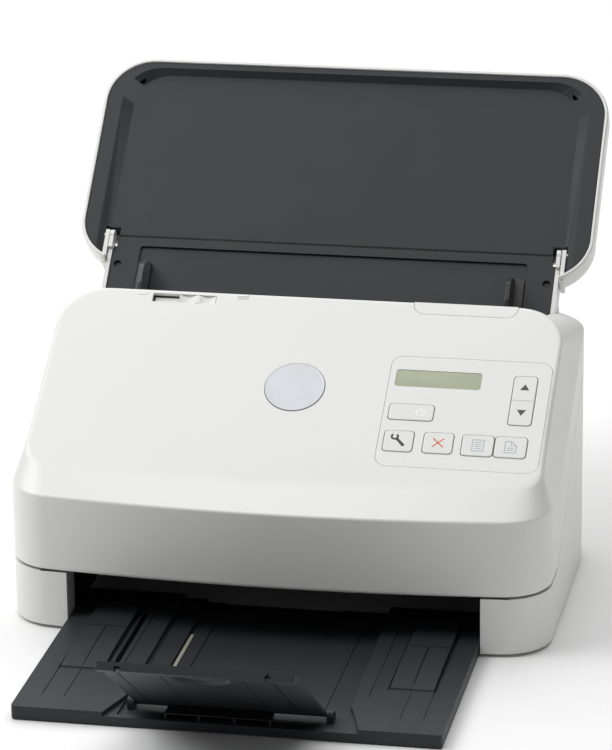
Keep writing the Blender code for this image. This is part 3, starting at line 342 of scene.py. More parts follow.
def liquid_crystal():
    """The display's olive field, a little darker towards its rear edge, behind a gloss window."""
    material, nodes, links, shader = new_material("display")
    deep, pale = (0.31, 0.35, 0.23), (0.37, 0.41, 0.27)
    varied(nodes, links, shader.inputs["Base Color"], 26.0, deep, pale, 1.0, (1.0, 2.6, 1.0))
    varied(nodes, links, shader.inputs["Roughness"], 40.0, 0.16, 0.24)
    shader.inputs["Coat Weight"].default_value = 0.6
    shader.inputs["Coat Roughness"].default_value = 0.08
    return material


def printed(name, colour):
    """Printing ink on a key."""
    material, nodes, links, shader = new_material(name)
    varied(nodes, links, shader.inputs["Base Color"], 300.0, tint(colour, 0.93), tint(colour, 1.05))
    varied(nodes, links, shader.inputs["Roughness"], 90.0, 0.45, 0.60)
    return material


WHITE = (0.80, 0.80, 0.775)
PANEL_WHITE = (0.79, 0.79, 0.77)
KEY_WHITE = (0.77, 0.77, 0.75)
DARK = (0.030, 0.032, 0.037)
MATERIALS = {
    "white_plastic": plastic("white_plastic", WHITE, 0.36, 0.04, 0.012, 1500.0, 0.10, 0.15),
    "panel_plastic": plastic("panel_plastic", PANEL_WHITE, 0.32, 0.03, 0.010, 1900.0, 0.06, 0.2),
    "button_plastic": plastic("button_plastic", KEY_WHITE, 0.36, 0.04, 0.012, 1900.0, 0.06, 0.2),
    "dark_plastic": plastic("dark_plastic", DARK, 0.48, 0.03, 0.02, 1300.0, 0.22, 0.0, 0.28),
    "black_plastic": plastic("black_plastic", (0.012, 0.012, 0.013), 0.40, 0.05, 0.05, 1200.0, 0.15),
    "frame_plastic": plastic("frame_plastic", (0.10, 0.10, 0.11), 0.50, 0.05, 0.05, 1200.0, 0.2),
    "gear_plastic": plastic("gear_plastic", (0.74, 0.72, 0.66), 0.42, 0.05, 0.03, 1600.0, 0.08),
    "steel": metal("steel", (0.56, 0.57, 0.58), 0.30, (1.0, 12.0, 12.0)),
    "emblem": metal("emblem", (0.43, 0.44, 0.46), 0.42, (1.0, 14.0, 14.0)),
    "rubber": rubber(),
    "circuit_board": circuit(),
    "display": liquid_crystal(),
    "glass": clear("glass", (0.80, 0.87, 0.86), 0.9),
    "smoky": clear("smoky", (0.30, 0.31, 0.33), 0.75, 0.12),
    "strip": plastic("strip", (0.34, 0.32, 0.28), 0.40, 0.03, 0.03, 900.0, 0.1),
    "ink_dark": printed("ink_dark", (0.055, 0.055, 0.058)),
    "ink_red": printed("ink_red", (0.72, 0.19, 0.09)),
    "ink_blue": printed("ink_blue", (0.36, 0.45, 0.52)),
    "ink_white": printed("ink_white", (0.92, 0.92, 0.91)),
    "ink_grey": printed("ink_grey", (0.42, 0.42, 0.41)),
}


# Mesh helpers


def from_bmesh(name, shape):
    """An object of a closed shape, with its faces turned outwards."""
    bmesh.ops.recalc_face_normals(shape, faces=shape.faces)
    mesh = bpy.data.meshes.new(name)
    shape.to_mesh(mesh)
    shape.free()
    item = bpy.data.objects.new(name, mesh)
    bpy.context.scene.collection.objects.link(item)
    return item


def baked(item):
    """Applies the modifiers of an object."""
    bpy.context.view_layer.update()
    graph = bpy.context.evaluated_depsgraph_get()
    mesh = bpy.data.meshes.new_from_object(item.evaluated_get(graph))
    item.modifiers.clear()
    item.data = mesh
    return item


def block(x, y, z):
    """A box from its three spans."""
    shape = bmesh.new()
    bmesh.ops.create_cube(shape, size=1.0)
    spans = [(pair[1] - pair[0]) * MM for pair in (x, y, z)]
    middle = [(pair[1] + pair[0]) * MM / 2 for pair in (x, y, z)]
    bmesh.ops.scale(shape, vec=spans, verts=shape.verts)
    bmesh.ops.translate(shape, vec=middle, verts=shape.verts)
    return from_bmesh("block", shape)


def mirrored(side, near, far):
    """A span in X on one side of the middle, in rising order."""
    return sorted((side * near, side * far))


def rod(radius, x, centre, sides=40):
    """A cylinder along X, around a (y, z) centre."""
    shape = bmesh.new()
    wide = radius * MM
    long = (x[1] - x[0]) * MM
    bmesh.ops.create_cone(shape, cap_ends=True, segments=sides, radius1=wide, radius2=wide, depth=long)
    turn = Matrix.Rotation(math.pi / 2, 4, "Y")
    move = Matrix.Translation(((x[0] + x[1]) * MM / 2, centre[0] * MM, centre[1] * MM))
    bmesh.ops.transform(shape, matrix=move @ turn, verts=shape.verts)
    return from_bmesh("rod", shape)


def circle(radius, centre, steps=48):
    angles = [math.tau * k / steps for k in range(steps)]
    return [(centre[0] + radius * math.cos(a), centre[1] + radius * math.sin(a)) for a in angles]


# Where (u, v) of an outline and w along its prism go, for a prism along each axis.
AXES = {
    "X": lambda u, v, w: (w, u, v),
    "Y": lambda u, v, w: (u, w, v),
    "Z": lambda u, v, w: (u, v, w),
}


def loft(rings):
    """A closed solid through rings of equally many points, with flat ends."""
    shape = bmesh.new()
    made = [[shape.verts.new([c * MM for c in point]) for point in ring] for ring in rings]
    for lower, upper in zip(made, made[1:]):
        for i in range(len(lower)):
            j = (i + 1) % len(lower)
            shape.faces.new((lower[i], lower[j], upper[j], upper[i]))
    shape.faces.new(list(reversed(made[0])))
    shape.faces.new(made[-1])
    return from_bmesh("loft", shape)


def prism(outline, axis, span):
    return loft([[AXES[axis](u, v, w) for u, v in outline] for w in span])


def boolean(target, other, operation):
    modifier = target.modifiers.new(operation.lower(), "BOOLEAN")
    modifier.object = other
    modifier.operation = operation
    modifier.solver = "EXACT"
    baked(target)
    bpy.data.objects.remove(other)
    return target


def cut(target, *others):
    for other in others:
        boolean(target, other, "DIFFERENCE")
    return target


def join(target, *others):
    for other in others:
        boolean(target, other, "UNION")
    return target


def keep(target, *others):
    for other in others:
        boolean(target, other, "INTERSECT")
    return target


def gather(target, *others):
    """Puts separate solids in one piece."""
    shape = bmesh.new()
    shape.from_mesh(target.data)
    for other in others:
        shape.from_mesh(other.data)
        bpy.data.objects.remove(other)
    shape.to_mesh(target.data)
    shape.free()
    return target


def moved(item, matrix):
    item.data.transform(matrix)
    return item


def soften(item, width, angle=50.0, segments=2):
    """Rounds the sharp edges a little, as moulded edges are."""
    modifier = item.modifiers.new("soft edges", "BEVEL")
    modifier.width = width * MM
    modifier.segments = segments
    modifier.limit_method = "ANGLE"
    modifier.angle_limit = math.radians(angle)
    modifier.use_clamp_overlap = True
    modifier.miter_outer = "MITER_ARC"
    return baked(item)


def piece(name, item, material, body, instead_of=(), sharp=32.0):
    """Names a finished piece, gives it its material and its body, and hides the nodes it stands for."""
    item.name = name
    item.data.name = name
    item.data.transform(Matrix.Translation((0, SHIFT, 0)))
    if not item.data.materials:
        item.data.materials.append(MATERIALS[material])
    item.data.shade_smooth()
    item.data.set_sharp_from_angle(angle=math.radians(sharp))
    even = item.modifiers.new("even shading", "WEIGHTED_NORMAL")
    even.keep_sharp = True
    even.weight = 80
    baked(item)
    item.data.name = name
    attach(item, body)
    if instead_of:
        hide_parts(*instead_of)


# Outlines


def rounded(corners, radius, steps=10):
    """An outline with its corners rounded. radius is one value, or one for each corner."""
    radii = radius if isinstance(radius, (list, tuple)) else [radius] * len(corners)
    outline = []
    for i, (corner, size) in enumerate(zip(corners, radii)):
        before, after = corners[i - 1], corners[(i + 1) % len(corners)]
        if size <= 0:
            outline.append(corner)
            continue
        a = math.atan2(before[1] - corner[1], before[0] - corner[0])
        b = math.atan2(after[1] - corner[1], after[0] - corner[0])
        half = abs(math.remainder(b - a, math.tau)) / 2
        middle = a + math.remainder(b - a, math.tau) / 2
        reach = size / math.sin(half)
        centre = (corner[0] + reach * math.cos(middle), corner[1] + reach * math.sin(middle))
        sweep = math.pi - 2 * half
        side = math.copysign(1.0, math.remainder(b - a, math.tau))
        first = middle + math.pi + side * sweep / 2
        for k in range(steps + 1):
            angle = first - side * sweep * k / steps
            outline.append((centre[0] + size * math.cos(angle), centre[1] + size * math.sin(angle)))
    return outline


def rectangle(u, v, radius=0.0, steps=8):
    return rounded([(u[0], v[0]), (u[1], v[0]), (u[1], v[1]), (u[0], v[1])], radius, steps)


def inset_span(span, by):
    return (span[0] + by, span[1] - by)


FRONT_STEPS = 36
CORNER_STEPS = 12
SIDE_STEPS = 24


def body_plan(inset=0.0):
    """The body seen from above: a bowed front, tight front corners and wide rear corners."""
    half = HALF_WIDTH - inset
    front_radius = CORNER_FRONT - inset
    rear_radius = CORNER_REAR - inset
    bow_half = half - front_radius * (1 - math.sin(BOW_ANGLE))
    bow = bow_half * math.tan(BOW_ANGLE) / 2
    right = []
    for k in range(FRONT_STEPS // 2 + 1):
        x = bow_half * 2 * k / FRONT_STEPS
        right.append((x, FRONT + inset + bow * (x / bow_half) ** 2))
    centre_y = FRONT + inset + bow + front_radius * math.cos(BOW_ANGLE)
    for k in range(1, CORNER_STEPS + 1):
        angle = -math.pi / 2 + BOW_ANGLE + (math.pi / 2 - BOW_ANGLE) * k / CORNER_STEPS
        right.append((half - front_radius * (1 - math.cos(angle)), centre_y + front_radius * math.sin(angle)))
    side_end = REAR - inset - rear_radius
    for k in range(1, SIDE_STEPS):
        right.append((half, centre_y + (side_end - centre_y) * k / SIDE_STEPS))
    for k in range(CORNER_STEPS + 1):
        angle = math.pi / 2 * k / CORNER_STEPS
        x = half - rear_radius * (1 - math.cos(angle))
        right.append((x, REAR - inset - rear_radius * (1 - math.sin(angle))))
    left = [(-x, y) for x, y in reversed(right) if x > 0.001]
    return right + left


def edge_height(y):
    """How high the lower edge of the cover's broad bevel runs: level in front, then up with the slope."""
    rise = (y - EDGE_TURN) * math.tan(SLOPE) * 0.95
    blend = 6.0
    soft = (rise + math.sqrt(rise * rise + blend * blend)) / 2 - blend / 8
    return min(EDGE_FRONT + max(soft, 0.0), EDGE_BACK)


def slope_plan(inset):
    """The sloping face's outline as (x, s), point for point with body_plan."""
    half = SLOPE_HALF - inset
    small = 12.0
    wide = 28.0
    bow_half = half - small
    bow = bow_half * math.tan(BOW_ANGLE) / 2
    right = []
    for k in range(FRONT_STEPS // 2 + 1):
        x = bow_half * 2 * k / FRONT_STEPS
        right.append((x, inset - bow * (1 - (x / bow_half) ** 2)))
    for k in range(1, CORNER_STEPS + 1):
        angle = -math.pi / 2 * (1 - k / CORNER_STEPS)
        right.append((half - small * (1 - math.cos(angle)), inset + small * (1 + math.sin(angle))))
    side_start, side_end = inset + small, SLOPE_LENGTH - inset - wide
    for k in range(1, SIDE_STEPS):
        right.append((half, side_start + (side_end - side_start) * k / SIDE_STEPS))
    for k in range(CORNER_STEPS + 1):
        angle = math.pi / 2 * k / CORNER_STEPS
        x = half - wide * (1 - math.cos(angle))
        right.append((x, SLOPE_LENGTH - inset - wide * (1 - math.sin(angle))))
    left = [(-x, s) for x, s in reversed(right) if x > 0.001]
    return right + left


def seam(offset, steps=14):
    """The seam seen from the side, from front to back."""
    start = (SEAM_START, FRONT_SEAM + offset)
    back = (SEAM_BACK[0], SEAM_BACK[1] + offset)
    ends = (AHEAD, start[1]), (BEHIND, back[1])
    return rounded([ends[0], start, back, ends[1]], [0, 30.0, 6.0, 0], steps)


def leaning(angle, origin):
    """A frame whose Y runs up along a face and whose Z stands out of it."""
    return Matrix.Translation((0, origin[0] * MM, origin[1] * MM)) @ Matrix.Rotation(angle, 4, "X")


SLOPE_FRAME = leaning(SLOPE, SLOPE_START)
TRAY_FRAME = leaning(LEAN, FLAP_AXIS)


def round_crease(before, corner, after, reach, steps):
    """Rings that turn softly from one face to the next at a corner ring."""
    rings = []
    for k in range(steps + 1):
        t = k / steps
        ring = []
        for a, c, b in zip(before, corner, after):
            a, c, b = Vector(a), Vector(c), Vector(b)
            start = c + (a - c).normalized() * min(reach, (a - c).length * 0.45)
            end = c + (b - c).normalized() * min(reach, (b - c).length * 0.45)
            ring.append(start * (1 - t) ** 2 + c * (2 * t * (1 - t)) + end * t * t)
        rings.append(ring)
    return rings


def on_slope(plan, inset=0.0):
    """Points of an (x, s) outline on the sloping face, or that far below it."""
    ring = []
    for x, s in plan:
        y = SLOPE_START[0] + s * math.cos(SLOPE) + inset * math.sin(SLOPE)
        z = SLOPE_START[1] + s * math.sin(SLOPE) - inset * math.cos(SLOPE)
        ring.append((x, y, z))
    return ring


# Front cover


def cover_shell():
    """The white cover: a bowed front, a broad bevel and the slope, open below, with the hinge's knuckles."""
    plan = body_plan()
    foot_z = FRONT_SEAM + SEAM_GAP - 0.1
    rings = []
    for k in range(5):
        angle = math.pi / 2 * k / 4
        inset = 1.6 * (1 - math.sin(angle))
        rings.append([(x, y, foot_z + 2.2 * (1 - math.cos(angle))) for x, y in body_plan(inset)])
    wall = [(x, y, foot_z + 10.0) for x, y in plan]
    edge = [(x, y, edge_height(y)) for x, y in plan]
    top = on_slope(slope_plan(0.0))
    inner = on_slope(slope_plan(10.0))
    rings += round_crease(wall, edge, top, 1.3, 5)
    rings += round_crease(edge, top, inner, 3.2, 7)
    rings.append(inner)
    shell = loft(rings)
    hollow_plan = body_plan(WALL)
    hollow = loft([
        [(x, y, 10.0) for x, y in hollow_plan],
        [(x, y, edge_height(y) - WALL * 0.4) for x, y in hollow_plan],
        on_slope(slope_plan(WALL), WALL),
    ])
    for side in (-1, 1):
        cut(hollow, block(mirrored(side, ARM_HALF, ARM_HALF + 2.8), (24.0, 120.0), (0.0, 180.0)))
    cut(shell, hollow)
    slope_end = SLOPE_START[0] + SLOPE_LENGTH * math.cos(SLOPE)
    cut(shell, block((-ARM_HALF - 0.4, ARM_HALF + 0.4), (slope_end, BEHIND), (0, 200)))
    cut(shell, prism(seam(SEAM_GAP) + [(BEHIND, -10.0), (AHEAD, -10.0)], "X", ACROSS))
    openings = (
        rectangle(PANEL_X, PANEL_S, 7.0),
        rectangle(LATCH_X, LATCH_S, (7.0, 7.0, 0, 0)),
        rectangle(SWITCH_X, SWITCH_S, 0.8),
    )
    for opening in openings:
        cut(shell, moved(prism(opening, "Z", THROUGH), SLOPE_FRAME))
    cut(shell, moved(prism(circle(EMBLEM_RADIUS + 0.3, EMBLEM_CENTRE, 72), "Z", (-1.0, 4.0)), SLOPE_FRAME))
    soften(shell, 0.35, 58.0)
    knuckles = []
    for side in (-1, 1):
        for x0, x1 in ((HINGE_X[0] - 3.6, HINGE_X[0] - 0.4), (HINGE_X[1] + 0.4, HINGE_X[1] + 3.6)):
            span = mirrored(side, x0, x1)
            knuckle = rod(2.9, span, HINGE)
            join(knuckle, block(span, (HINGE[0] - 4.2, HINGE[0]), (HINGE[1] - 2.9, HINGE[1] + 6.0)))
            knuckles.append(cut(knuckle, rod(1.3, (span[0] - 1, span[1] + 1), HINGE, 24)))
    gather(shell, *knuckles)
    piece("cover_skin", shell, "white_plastic", "front_cover", instead_of=("cover_shell",), sharp=28.0)


def domed_key(x, s, top, height, radius, below=-3.2):
    """A key cap with a softly rounded top edge."""
    levels = [(0.0, below), (0.0, top - height)]
    for angle in (0.4, 0.8, 1.2, math.pi / 2):
        levels.append((height * (1 - math.cos(angle)), top - height * (1 - math.sin(angle))))
    rings = []
    for inset, n in levels:
        outline = rectangle(inset_span(x, inset), inset_span(s, inset), max(radius - inset, 0.2))
        rings.append([(u, v, n) for u, v in outline])
    return loft(rings)


def control_panel():
    """The flush panel, its keys and its display."""
    panel = prism(rectangle(inset_span(PANEL_X, 0.22), inset_span(PANEL_S, 0.22), 6.8), "Z", (-2.4, 0.0))
    for name, (x, s) in KEYS.items():
        cut(panel, prism(rectangle(inset_span(x, -0.2), inset_span(s, -0.2), 2.4), "Z", (-4.0, 2.0)))
    cut(panel, prism(rectangle(DISPLAY_X, DISPLAY_S, 1.8), "Z", (-4.0, 2.0)))
    soften(panel, 0.18, 50.0)
    moved(panel, SLOPE_FRAME)
    piece("panel_skin", panel, "panel_plastic", "front_cover", instead_of=("control_panel",))
    for name, (x, s) in KEYS.items():
        key = domed_key(inset_span(x, 0.22), inset_span(s, 0.22), KEY_TOP, 0.45, KEY_CORNER)
        flange = block(inset_span(x, 1.0), inset_span(s, -1.0), (-4.4, -3.2))
        join(key, flange)
        if name == "rocker_up_down":
            middle = (s[0] + s[1]) / 2
            cut(key, block(inset_span(x, -1.0), (middle - 0.2, middle + 0.2), (0.2, 2.0)))
        moved(key, SLOPE_FRAME)
        piece(name + "_cap", key, "button_plastic", name, instead_of=(name,))
    display_x, display_s = inset_span(DISPLAY_X, 0.12), inset_span(DISPLAY_S, 0.12)
    window = moved(domed_key(display_x, display_s, -0.25, 0.15, 1.7, -4.0), SLOPE_FRAME)
    piece("display_window", window, "display", "front_cover", instead_of=("display",))


def stroke(points, width):
    """A flat line through points, with square ends, as an outline."""
    left, right = [], []
    for i, point in enumerate(points):
        before = points[max(i - 1, 0)]
        after = points[min(i + 1, len(points) - 1)]
        along = Vector((after[0] - before[0], after[1] - before[1])).normalized()
        across = Vector((-along.y, along.x)) * width / 2
        left.append((point[0] + across.x, point[1] + across.y))
        right.append((point[0] - across.x, point[1] - across.y))
    return left + right[::-1]


def arc(centre, radius, first, last, steps=24):
    """Points of an arc from one angle to another, in degrees."""
    angles = [math.radians(first + (last - first) * k / steps) for k in range(steps + 1)]
    return [(centre[0] + radius * math.cos(a), centre[1] + radius * math.sin(a)) for a in angles]


def print_on(name, outlines, ink, body, levels):
    """Outlines printed on the slope, a few hundredths of a millimetre thick, between two levels."""
    solids = [prism(outline, "Z", levels) for outline in outlines]
    mark = gather(solids[0], *solids[1:])
    piece(name, moved(mark, SLOPE_FRAME), ink, body)


def icon(name, outlines, ink, key):
    print_on(name, outlines, ink, key, (KEY_TOP - 0.05, KEY_TOP + 0.03))


def key_icons():
    """Generic symbols: on and off, a wrench, a cross, one page, two sided page and two arrows."""
    power = (74.6, 46.8)
    ring = stroke(arc(power, 2.35, 125, 415), 0.95)
    bar = stroke([(power[0], power[1] + 0.2), (power[0], power[1] + 3.2)], 0.95)
    icon("power_icon", [ring, bar], "ink_white", "button_power")
    low, high = (67.6, 23.2), (63.2, 28.0)
    jaw = stroke(arc((62.5, 28.8), 1.75, -235, 55), 1.25)
    icon("tools_icon", [stroke([low, high], 1.7), jaw, circle(1.0, low, 20)], "ink_dark", "button_tools")
    x, s = (87.4, 26.0)
    arms = [stroke([(x - 3.1, s - 3.1 * k), (x + 3.1, s + 3.1 * k)], 0.85) for k in (-1, 1)]
    icon("cancel_icon", arms, "ink_red", "button_cancel")
    pages = {"simplex": (110.0, 25.6), "duplex": (128.4, 25.6)}
    for label, (x, s) in pages.items():
        frame_lines = [
            stroke([(x - 3.2, s - 3.9), (x + 3.2, s - 3.9)], 0.5),
            stroke([(x - 3.2, s - 4.1), (x - 3.2, s + 4.1)], 0.5),
        ]
        if label == "simplex":
            frame_lines += [
                stroke([(x + 3.2, s - 4.1), (x + 3.2, s + 4.1)], 0.5),
                stroke([(x - 3.2, s + 3.9), (x + 3.2, s + 3.9)], 0.5),
            ]
            rows = (-2.2, -0.7, 0.8, 2.3)
        else:
            frame_lines += [
                stroke([(x + 3.2, s - 4.1), (x + 3.2, s + 1.0)], 0.5),
                stroke([(x - 3.2, s + 3.9), (x + 0.2, s + 3.9)], 0.5),
                stroke([(x + 0.2, s + 4.0), (x + 3.3, s + 0.9)], 0.5),
                stroke([(x + 0.2, s + 3.9), (x + 0.2, s + 1.0), (x + 3.2, s + 1.0)], 0.45),
            ]
            rows = (-2.2, -0.7)
        frame_lines += [stroke([(x - 2.0, s + row), (x + 2.0, s + row)], 0.5) for row in rows]
        icon(label + "_icon", frame_lines, "ink_blue", "button_" + label)
    x = 131.3
    up = [(x - 2.6, 66.6), (x + 2.6, 66.6), (x, 70.8)]
    down = [(x - 2.6, 52.4), (x, 48.2), (x + 2.6, 52.4)]
    icon("arrow_icons", [up, down], "ink_dark", "rocker_up_down")


def sheet_marks():
    """Two small generic marks beside the separation slider: one sheet, and a stack of sheets."""
    for label, x, rows in (("single", -101.0, 1), ("stack", -41.0, 3)):
        outlines = []
        for row in range(rows):
            s = 123.2 + 1.0 * row
            outlines.append(stroke([(x - 3.0, s), (x + 2.2, s), (x + 3.4, s + 1.2)], 0.4))
        print_on(label + "_sheet_mark", outlines, "ink_grey", "front_cover", (-0.04, 0.04))


def emblem():
    """A plain satin disc with a fine raised rim."""
    wall = ((EMBLEM_RADIUS, -0.7), (EMBLEM_RADIUS, 0.2))
    rim = ((17.1, 0.38), (16.7, 0.42), (16.4, 0.34), (16.2, 0.30))
    rings = [[(x, s, n) for x, s in circle(radius, EMBLEM_CENTRE, 96)] for radius, n in wall + rim]
    disc = moved(loft(rings), SLOPE_FRAME)
    piece("emblem_badge", disc, "emblem", "front_cover", instead_of=("emblem_disc",))


def latch():
    """The cover's release tab, flush with the slope's rear edge."""
    span = inset_span(LATCH_X, 0.25)
    tab = prism(rectangle(span, (LATCH_S[0] + 0.25, SLOPE_LENGTH), (6.8, 6.8, 0, 0)), "Z", (-WALL, 0.0))
    join(tab, block(inset_span(LATCH_X, 10), (125.2, SLOPE_LENGTH), (-4.4, -2.0)))
    soften(tab, 0.3, 50.0)
    piece("latch_tab", moved(tab, SLOPE_FRAME), "white_plastic", "latch", instead_of=("cover_latch",))


def switch():
    """The separation slider: two finger hollows and a ridge between them."""
    middle = (SWITCH_S[0] + SWITCH_S[1]) / 2
    slider = block((-78.4, SWITCH_X[1] - 0.3), inset_span(SWITCH_S, 0.3), (-3.4, 0.0))
    quarter = Matrix.Rotation(math.pi / 2, 4, "Z")
    for x in (-73.4, -61.6):
        place = Matrix.Translation((x * MM, 0, 7.6 * MM)) @ quarter
        cut(slider, moved(rod(9.0, (118.0, 126.0), (0.0, 0.0), 64), place))
    join(slider, block((-93.5, -57.8), (119.2, 124.0), (-4.6, -3.2)))
    soften(slider, 0.2, 50.0)
    arrow = prism([(-69.3, middle - 1.6), (-65.7, middle - 1.6), (-67.5, middle + 1.8)], "Z", (-1.6, -0.1))
    gather(slider, arrow)
    moved(slider, SLOPE_FRAME)
    node = "separation_switch"
    piece("separation_slider_cap", slider, "button_plastic", "separation_slider", instead_of=(node,))


# Base


def base():
    """The base: cheeks, side walls and back round the output bay, open for the hinge and the tray."""
    housing = prism(body_plan(), "Z", (BASE_BOTTOM, 140.0))
    keep(housing, prism(seam(0.0) + [(BEHIND, 0.0), (AHEAD, 0.0)], "X", ACROSS))
    hollow = prism(body_plan(WALL), "Z", (BASE_BOTTOM + WALL, 160.0))
    inside = [(AHEAD, 0.0), (BEHIND, 0.0), (BEHIND, 160.0), (-20.0, 160.0), (-56.0, 40.0)]
    inside += [(-56.0, FRONT_SEAM - WALL), (AHEAD, FRONT_SEAM - WALL)]
    keep(hollow, prism(inside, "X", ACROSS))
    cut(housing, hollow)
    for side in (-1, 1):
        wall = mirrored(side, BAY_HALF - 0.5, BAY_HALF + 3.7)
        join(housing, block(wall, (-104.0, BAY_BACK + 1), (3.0, 33.0)))
        join(housing, block(wall, (BAY_BACK, CAVITY_BACK + 1), (2.8, 21.0)))
    join(housing, block((-126.0, 126.0), (BAY_BACK, CAVITY_BACK + 2.0), (20.0, 22.5)))
    join(housing, block((-119.0, 119.0), (BAY_BACK, BAY_BACK + WALL), (21.0, 62.0)))
    join(housing, block((-121.0, 121.0), (CAVITY_BACK, CAVITY_BACK + WALL), (3.0, 21.5)))
    cut(housing, block((-BAY_HALF, BAY_HALF), (AHEAD, CAVITY_BACK), (-1.0, 20.0)))
    cut(housing, block((-BAY_HALF, BAY_HALF), (AHEAD, BAY_BACK), (19.0, 60.0)))
    for side in (-1, 1):
        cut(housing, block(mirrored(side, BAY_HALF - 1, BAY_HALF + 1.7), (-102.0, CAVITY_BACK), (2.7, 5.5)))
        cut(housing, block(mirrored(side, HINGE_X[0] - 0.3, HINGE_X[1] + 0.3), (-90.6, -79.4), (30.0, 36.0)))
        cut(housing, rod(HINGE_SWEEP, mirrored(side, BAY_HALF - 1, 134.0), HINGE, 60))
    cut(housing, block((-110.0, 110.0), THROUGH_REAR, (14.0, 118.0)))
    for x in (-FOOT_X, FOOT_X):
        for y in FOOT_Y:
            cut(housing, prism(circle(FOOT_RADIUS, (x, y), 36), "Z", (0.0, 3.2)))
    soften(housing, 0.6, 60.0)
    # Faces deep in the output bay take the black plastic as painted shade.
    housing.data.materials.append(MATERIALS["white_plastic"])
    housing.data.materials.append(MATERIALS["black_plastic"])
    for face in housing.data.polygons:
        x, y, z = (c / MM for c in face.center)
        if abs(x) < BAY_HALF - 1.0 and BAY_PAINTED_SHADE_FRONT < y < CAVITY_BACK + 0.5 and 1.0 < z < 62.0:
            face.material_index = 1
    piece("base_skin", housing, "white_plastic", "base", ("base_housing",), sharp=28.0)
    # Black sheets on the cheeks' inner walls, as painted shade.
    painted_shade_sheets = []
    for side in (-1, 1):
        skin = mirrored(side, BAY_HALF - 0.3, BAY_HALF + 0.1)
        painted_shade_sheets.append(block(skin, (-90.0, CAVITY_BACK), (5.8, 19.8)))
        painted_shade_sheets.append(block(skin, (-90.0, BAY_BACK), (19.8, 29.8)))
    piece("bay_painted_shade_sheets", gather(*painted_shade_sheets), "black_plastic", "base")


def rear():
    """The deck behind the input tray, and the back panel with its cooling slots and socket openings."""
    deck = [(62.5, 130.0), (82.4, 148.6), (84.4, 149.2), (100.0, 149.2), (100.0, 135.3), (68.5, 135.3)]
    cap = prism(deck, "X", (-ARM_HALF, ARM_HALF))
    keep(cap, prism(body_plan(), "Z", DECK_Z))
    under = prism([(66.5, 130.0), (84.0, 146.4), (100.0, 146.4), (100.0, 130.0)], "X", (-134.0, 134.0))
    keep(under, prism(body_plan(WALL), "Z", DECK_Z))
    cut(cap, under)
    soften(cap, 0.5, 50.0)
    piece("rear_deck", cap, "white_plastic", "base", instead_of=("rear_cap",))
    panel = prism(rectangle((-109.6, 109.6), (14.4, 117.6), 3.0), "Y", (REAR - WALL, REAR))
    for row in range(6):
        low = 66.0 + 7.0 * row
        for column in range(7):
            left = -70.0 + 20.2 * column
            slot = rectangle((left, left + 18.0), (low, low + 2.4), 1.15, 5)
            cut(panel, prism(slot, "Y", THROUGH_REAR))
    cut(panel, prism(rectangle((22.0, 37.0), (22.0, 36.0), 1.0), "Y", THROUGH_REAR))
    cut(panel, prism(circle(6.6, (-20.0, 29.0)), "Y", THROUGH_REAR))
    soften(panel, 0.3, 50.0)
    piece("rear_panel_skin", panel, "white_plastic", "base", instead_of=("rear_panel",))


# Input tray


def arm_slots(item):
    """Clears the side frames' tops from the foot of the arm."""
    for side in (-1, 1):
        span = mirrored(side, FRAME_X[0] - 0.4, FRAME_X[1] + 0.4)
        cut(item, block(span, (-70.0, -46.0), (-22.0, 6.0)))
    return item


def arm():
    """The arm: a dark plate with a field for the guides, and a white back with rails and hinge bosses."""
    outline = rectangle((-133.4, 133.4), (-ARM_LENGTH, -0.4), (4.0, 4.0, 0.6, 0.6))
    plate = prism(outline, "Z", (-3.6, 0.0))
    cut(plate, prism(rectangle((-117.0, 117.0), (-70.0, -6.0), (0, 0, 2.0, 2.0)), "Z", (-1.4, 2.0)))
    for span in ((-114.0, -12.0), (12.0, 114.0)):
        cut(plate, prism(rectangle(span, (RACK_S - 3.0, RACK_S + 3.0), 1.5), "Z", (-6.0, 2.0)))
    for side in (-1, 1):
        cut(plate, prism(circle(2.4, (side * 129.3, -19.0), 32), "Z", (-1.6, 2.0)))
        cut(plate, block(mirrored(side, 131.5, 140.0), (-7.0, 2.0), (-6.0, 3.0)))
    join(plate, prism(circle(2.2, (0.0, RACK_S), 32), "Z", (-6.8, -2.0)))
    arm_slots(plate)
    soften(plate, 0.3, 50.0)
    piece("arm_face", moved(plate, TRAY_FRAME), "dark_plastic", "input_arm", instead_of=("arm_plate",))
    shell = block((-ARM_HALF, ARM_HALF), (-50.0, -5.5), (-12.0, -9.6))
    for side in (-1, 1):
        rail = mirrored(side, 133.8, ARM_HALF)
        join(shell, block(rail, (-56.0, -3.6), (-12.0, 1.0)))
        join(shell, rod(3.6, rail, (0.0, 0.0)))
        join(shell, block(rail, (-9.0, 0.0), (-3.2, 3.2)))
        join(shell, block(mirrored(side, 124.6, 128.0), (-61.0, -45.0), (-12.0, -4.4)))
        cut(shell, rod(2.1, mirrored(side, 130.0, 140.0), (0.0, 0.0), 32))
        cut(shell, rod(2.3, mirrored(side, 120.0, 130.0), ARM_PIVOT, 32))
    arm_slots(shell)
    soften(shell, 0.35, 50.0)
    piece("arm_back", moved(shell, TRAY_FRAME), "white_plastic", "input_arm", instead_of=("arm_shell",))


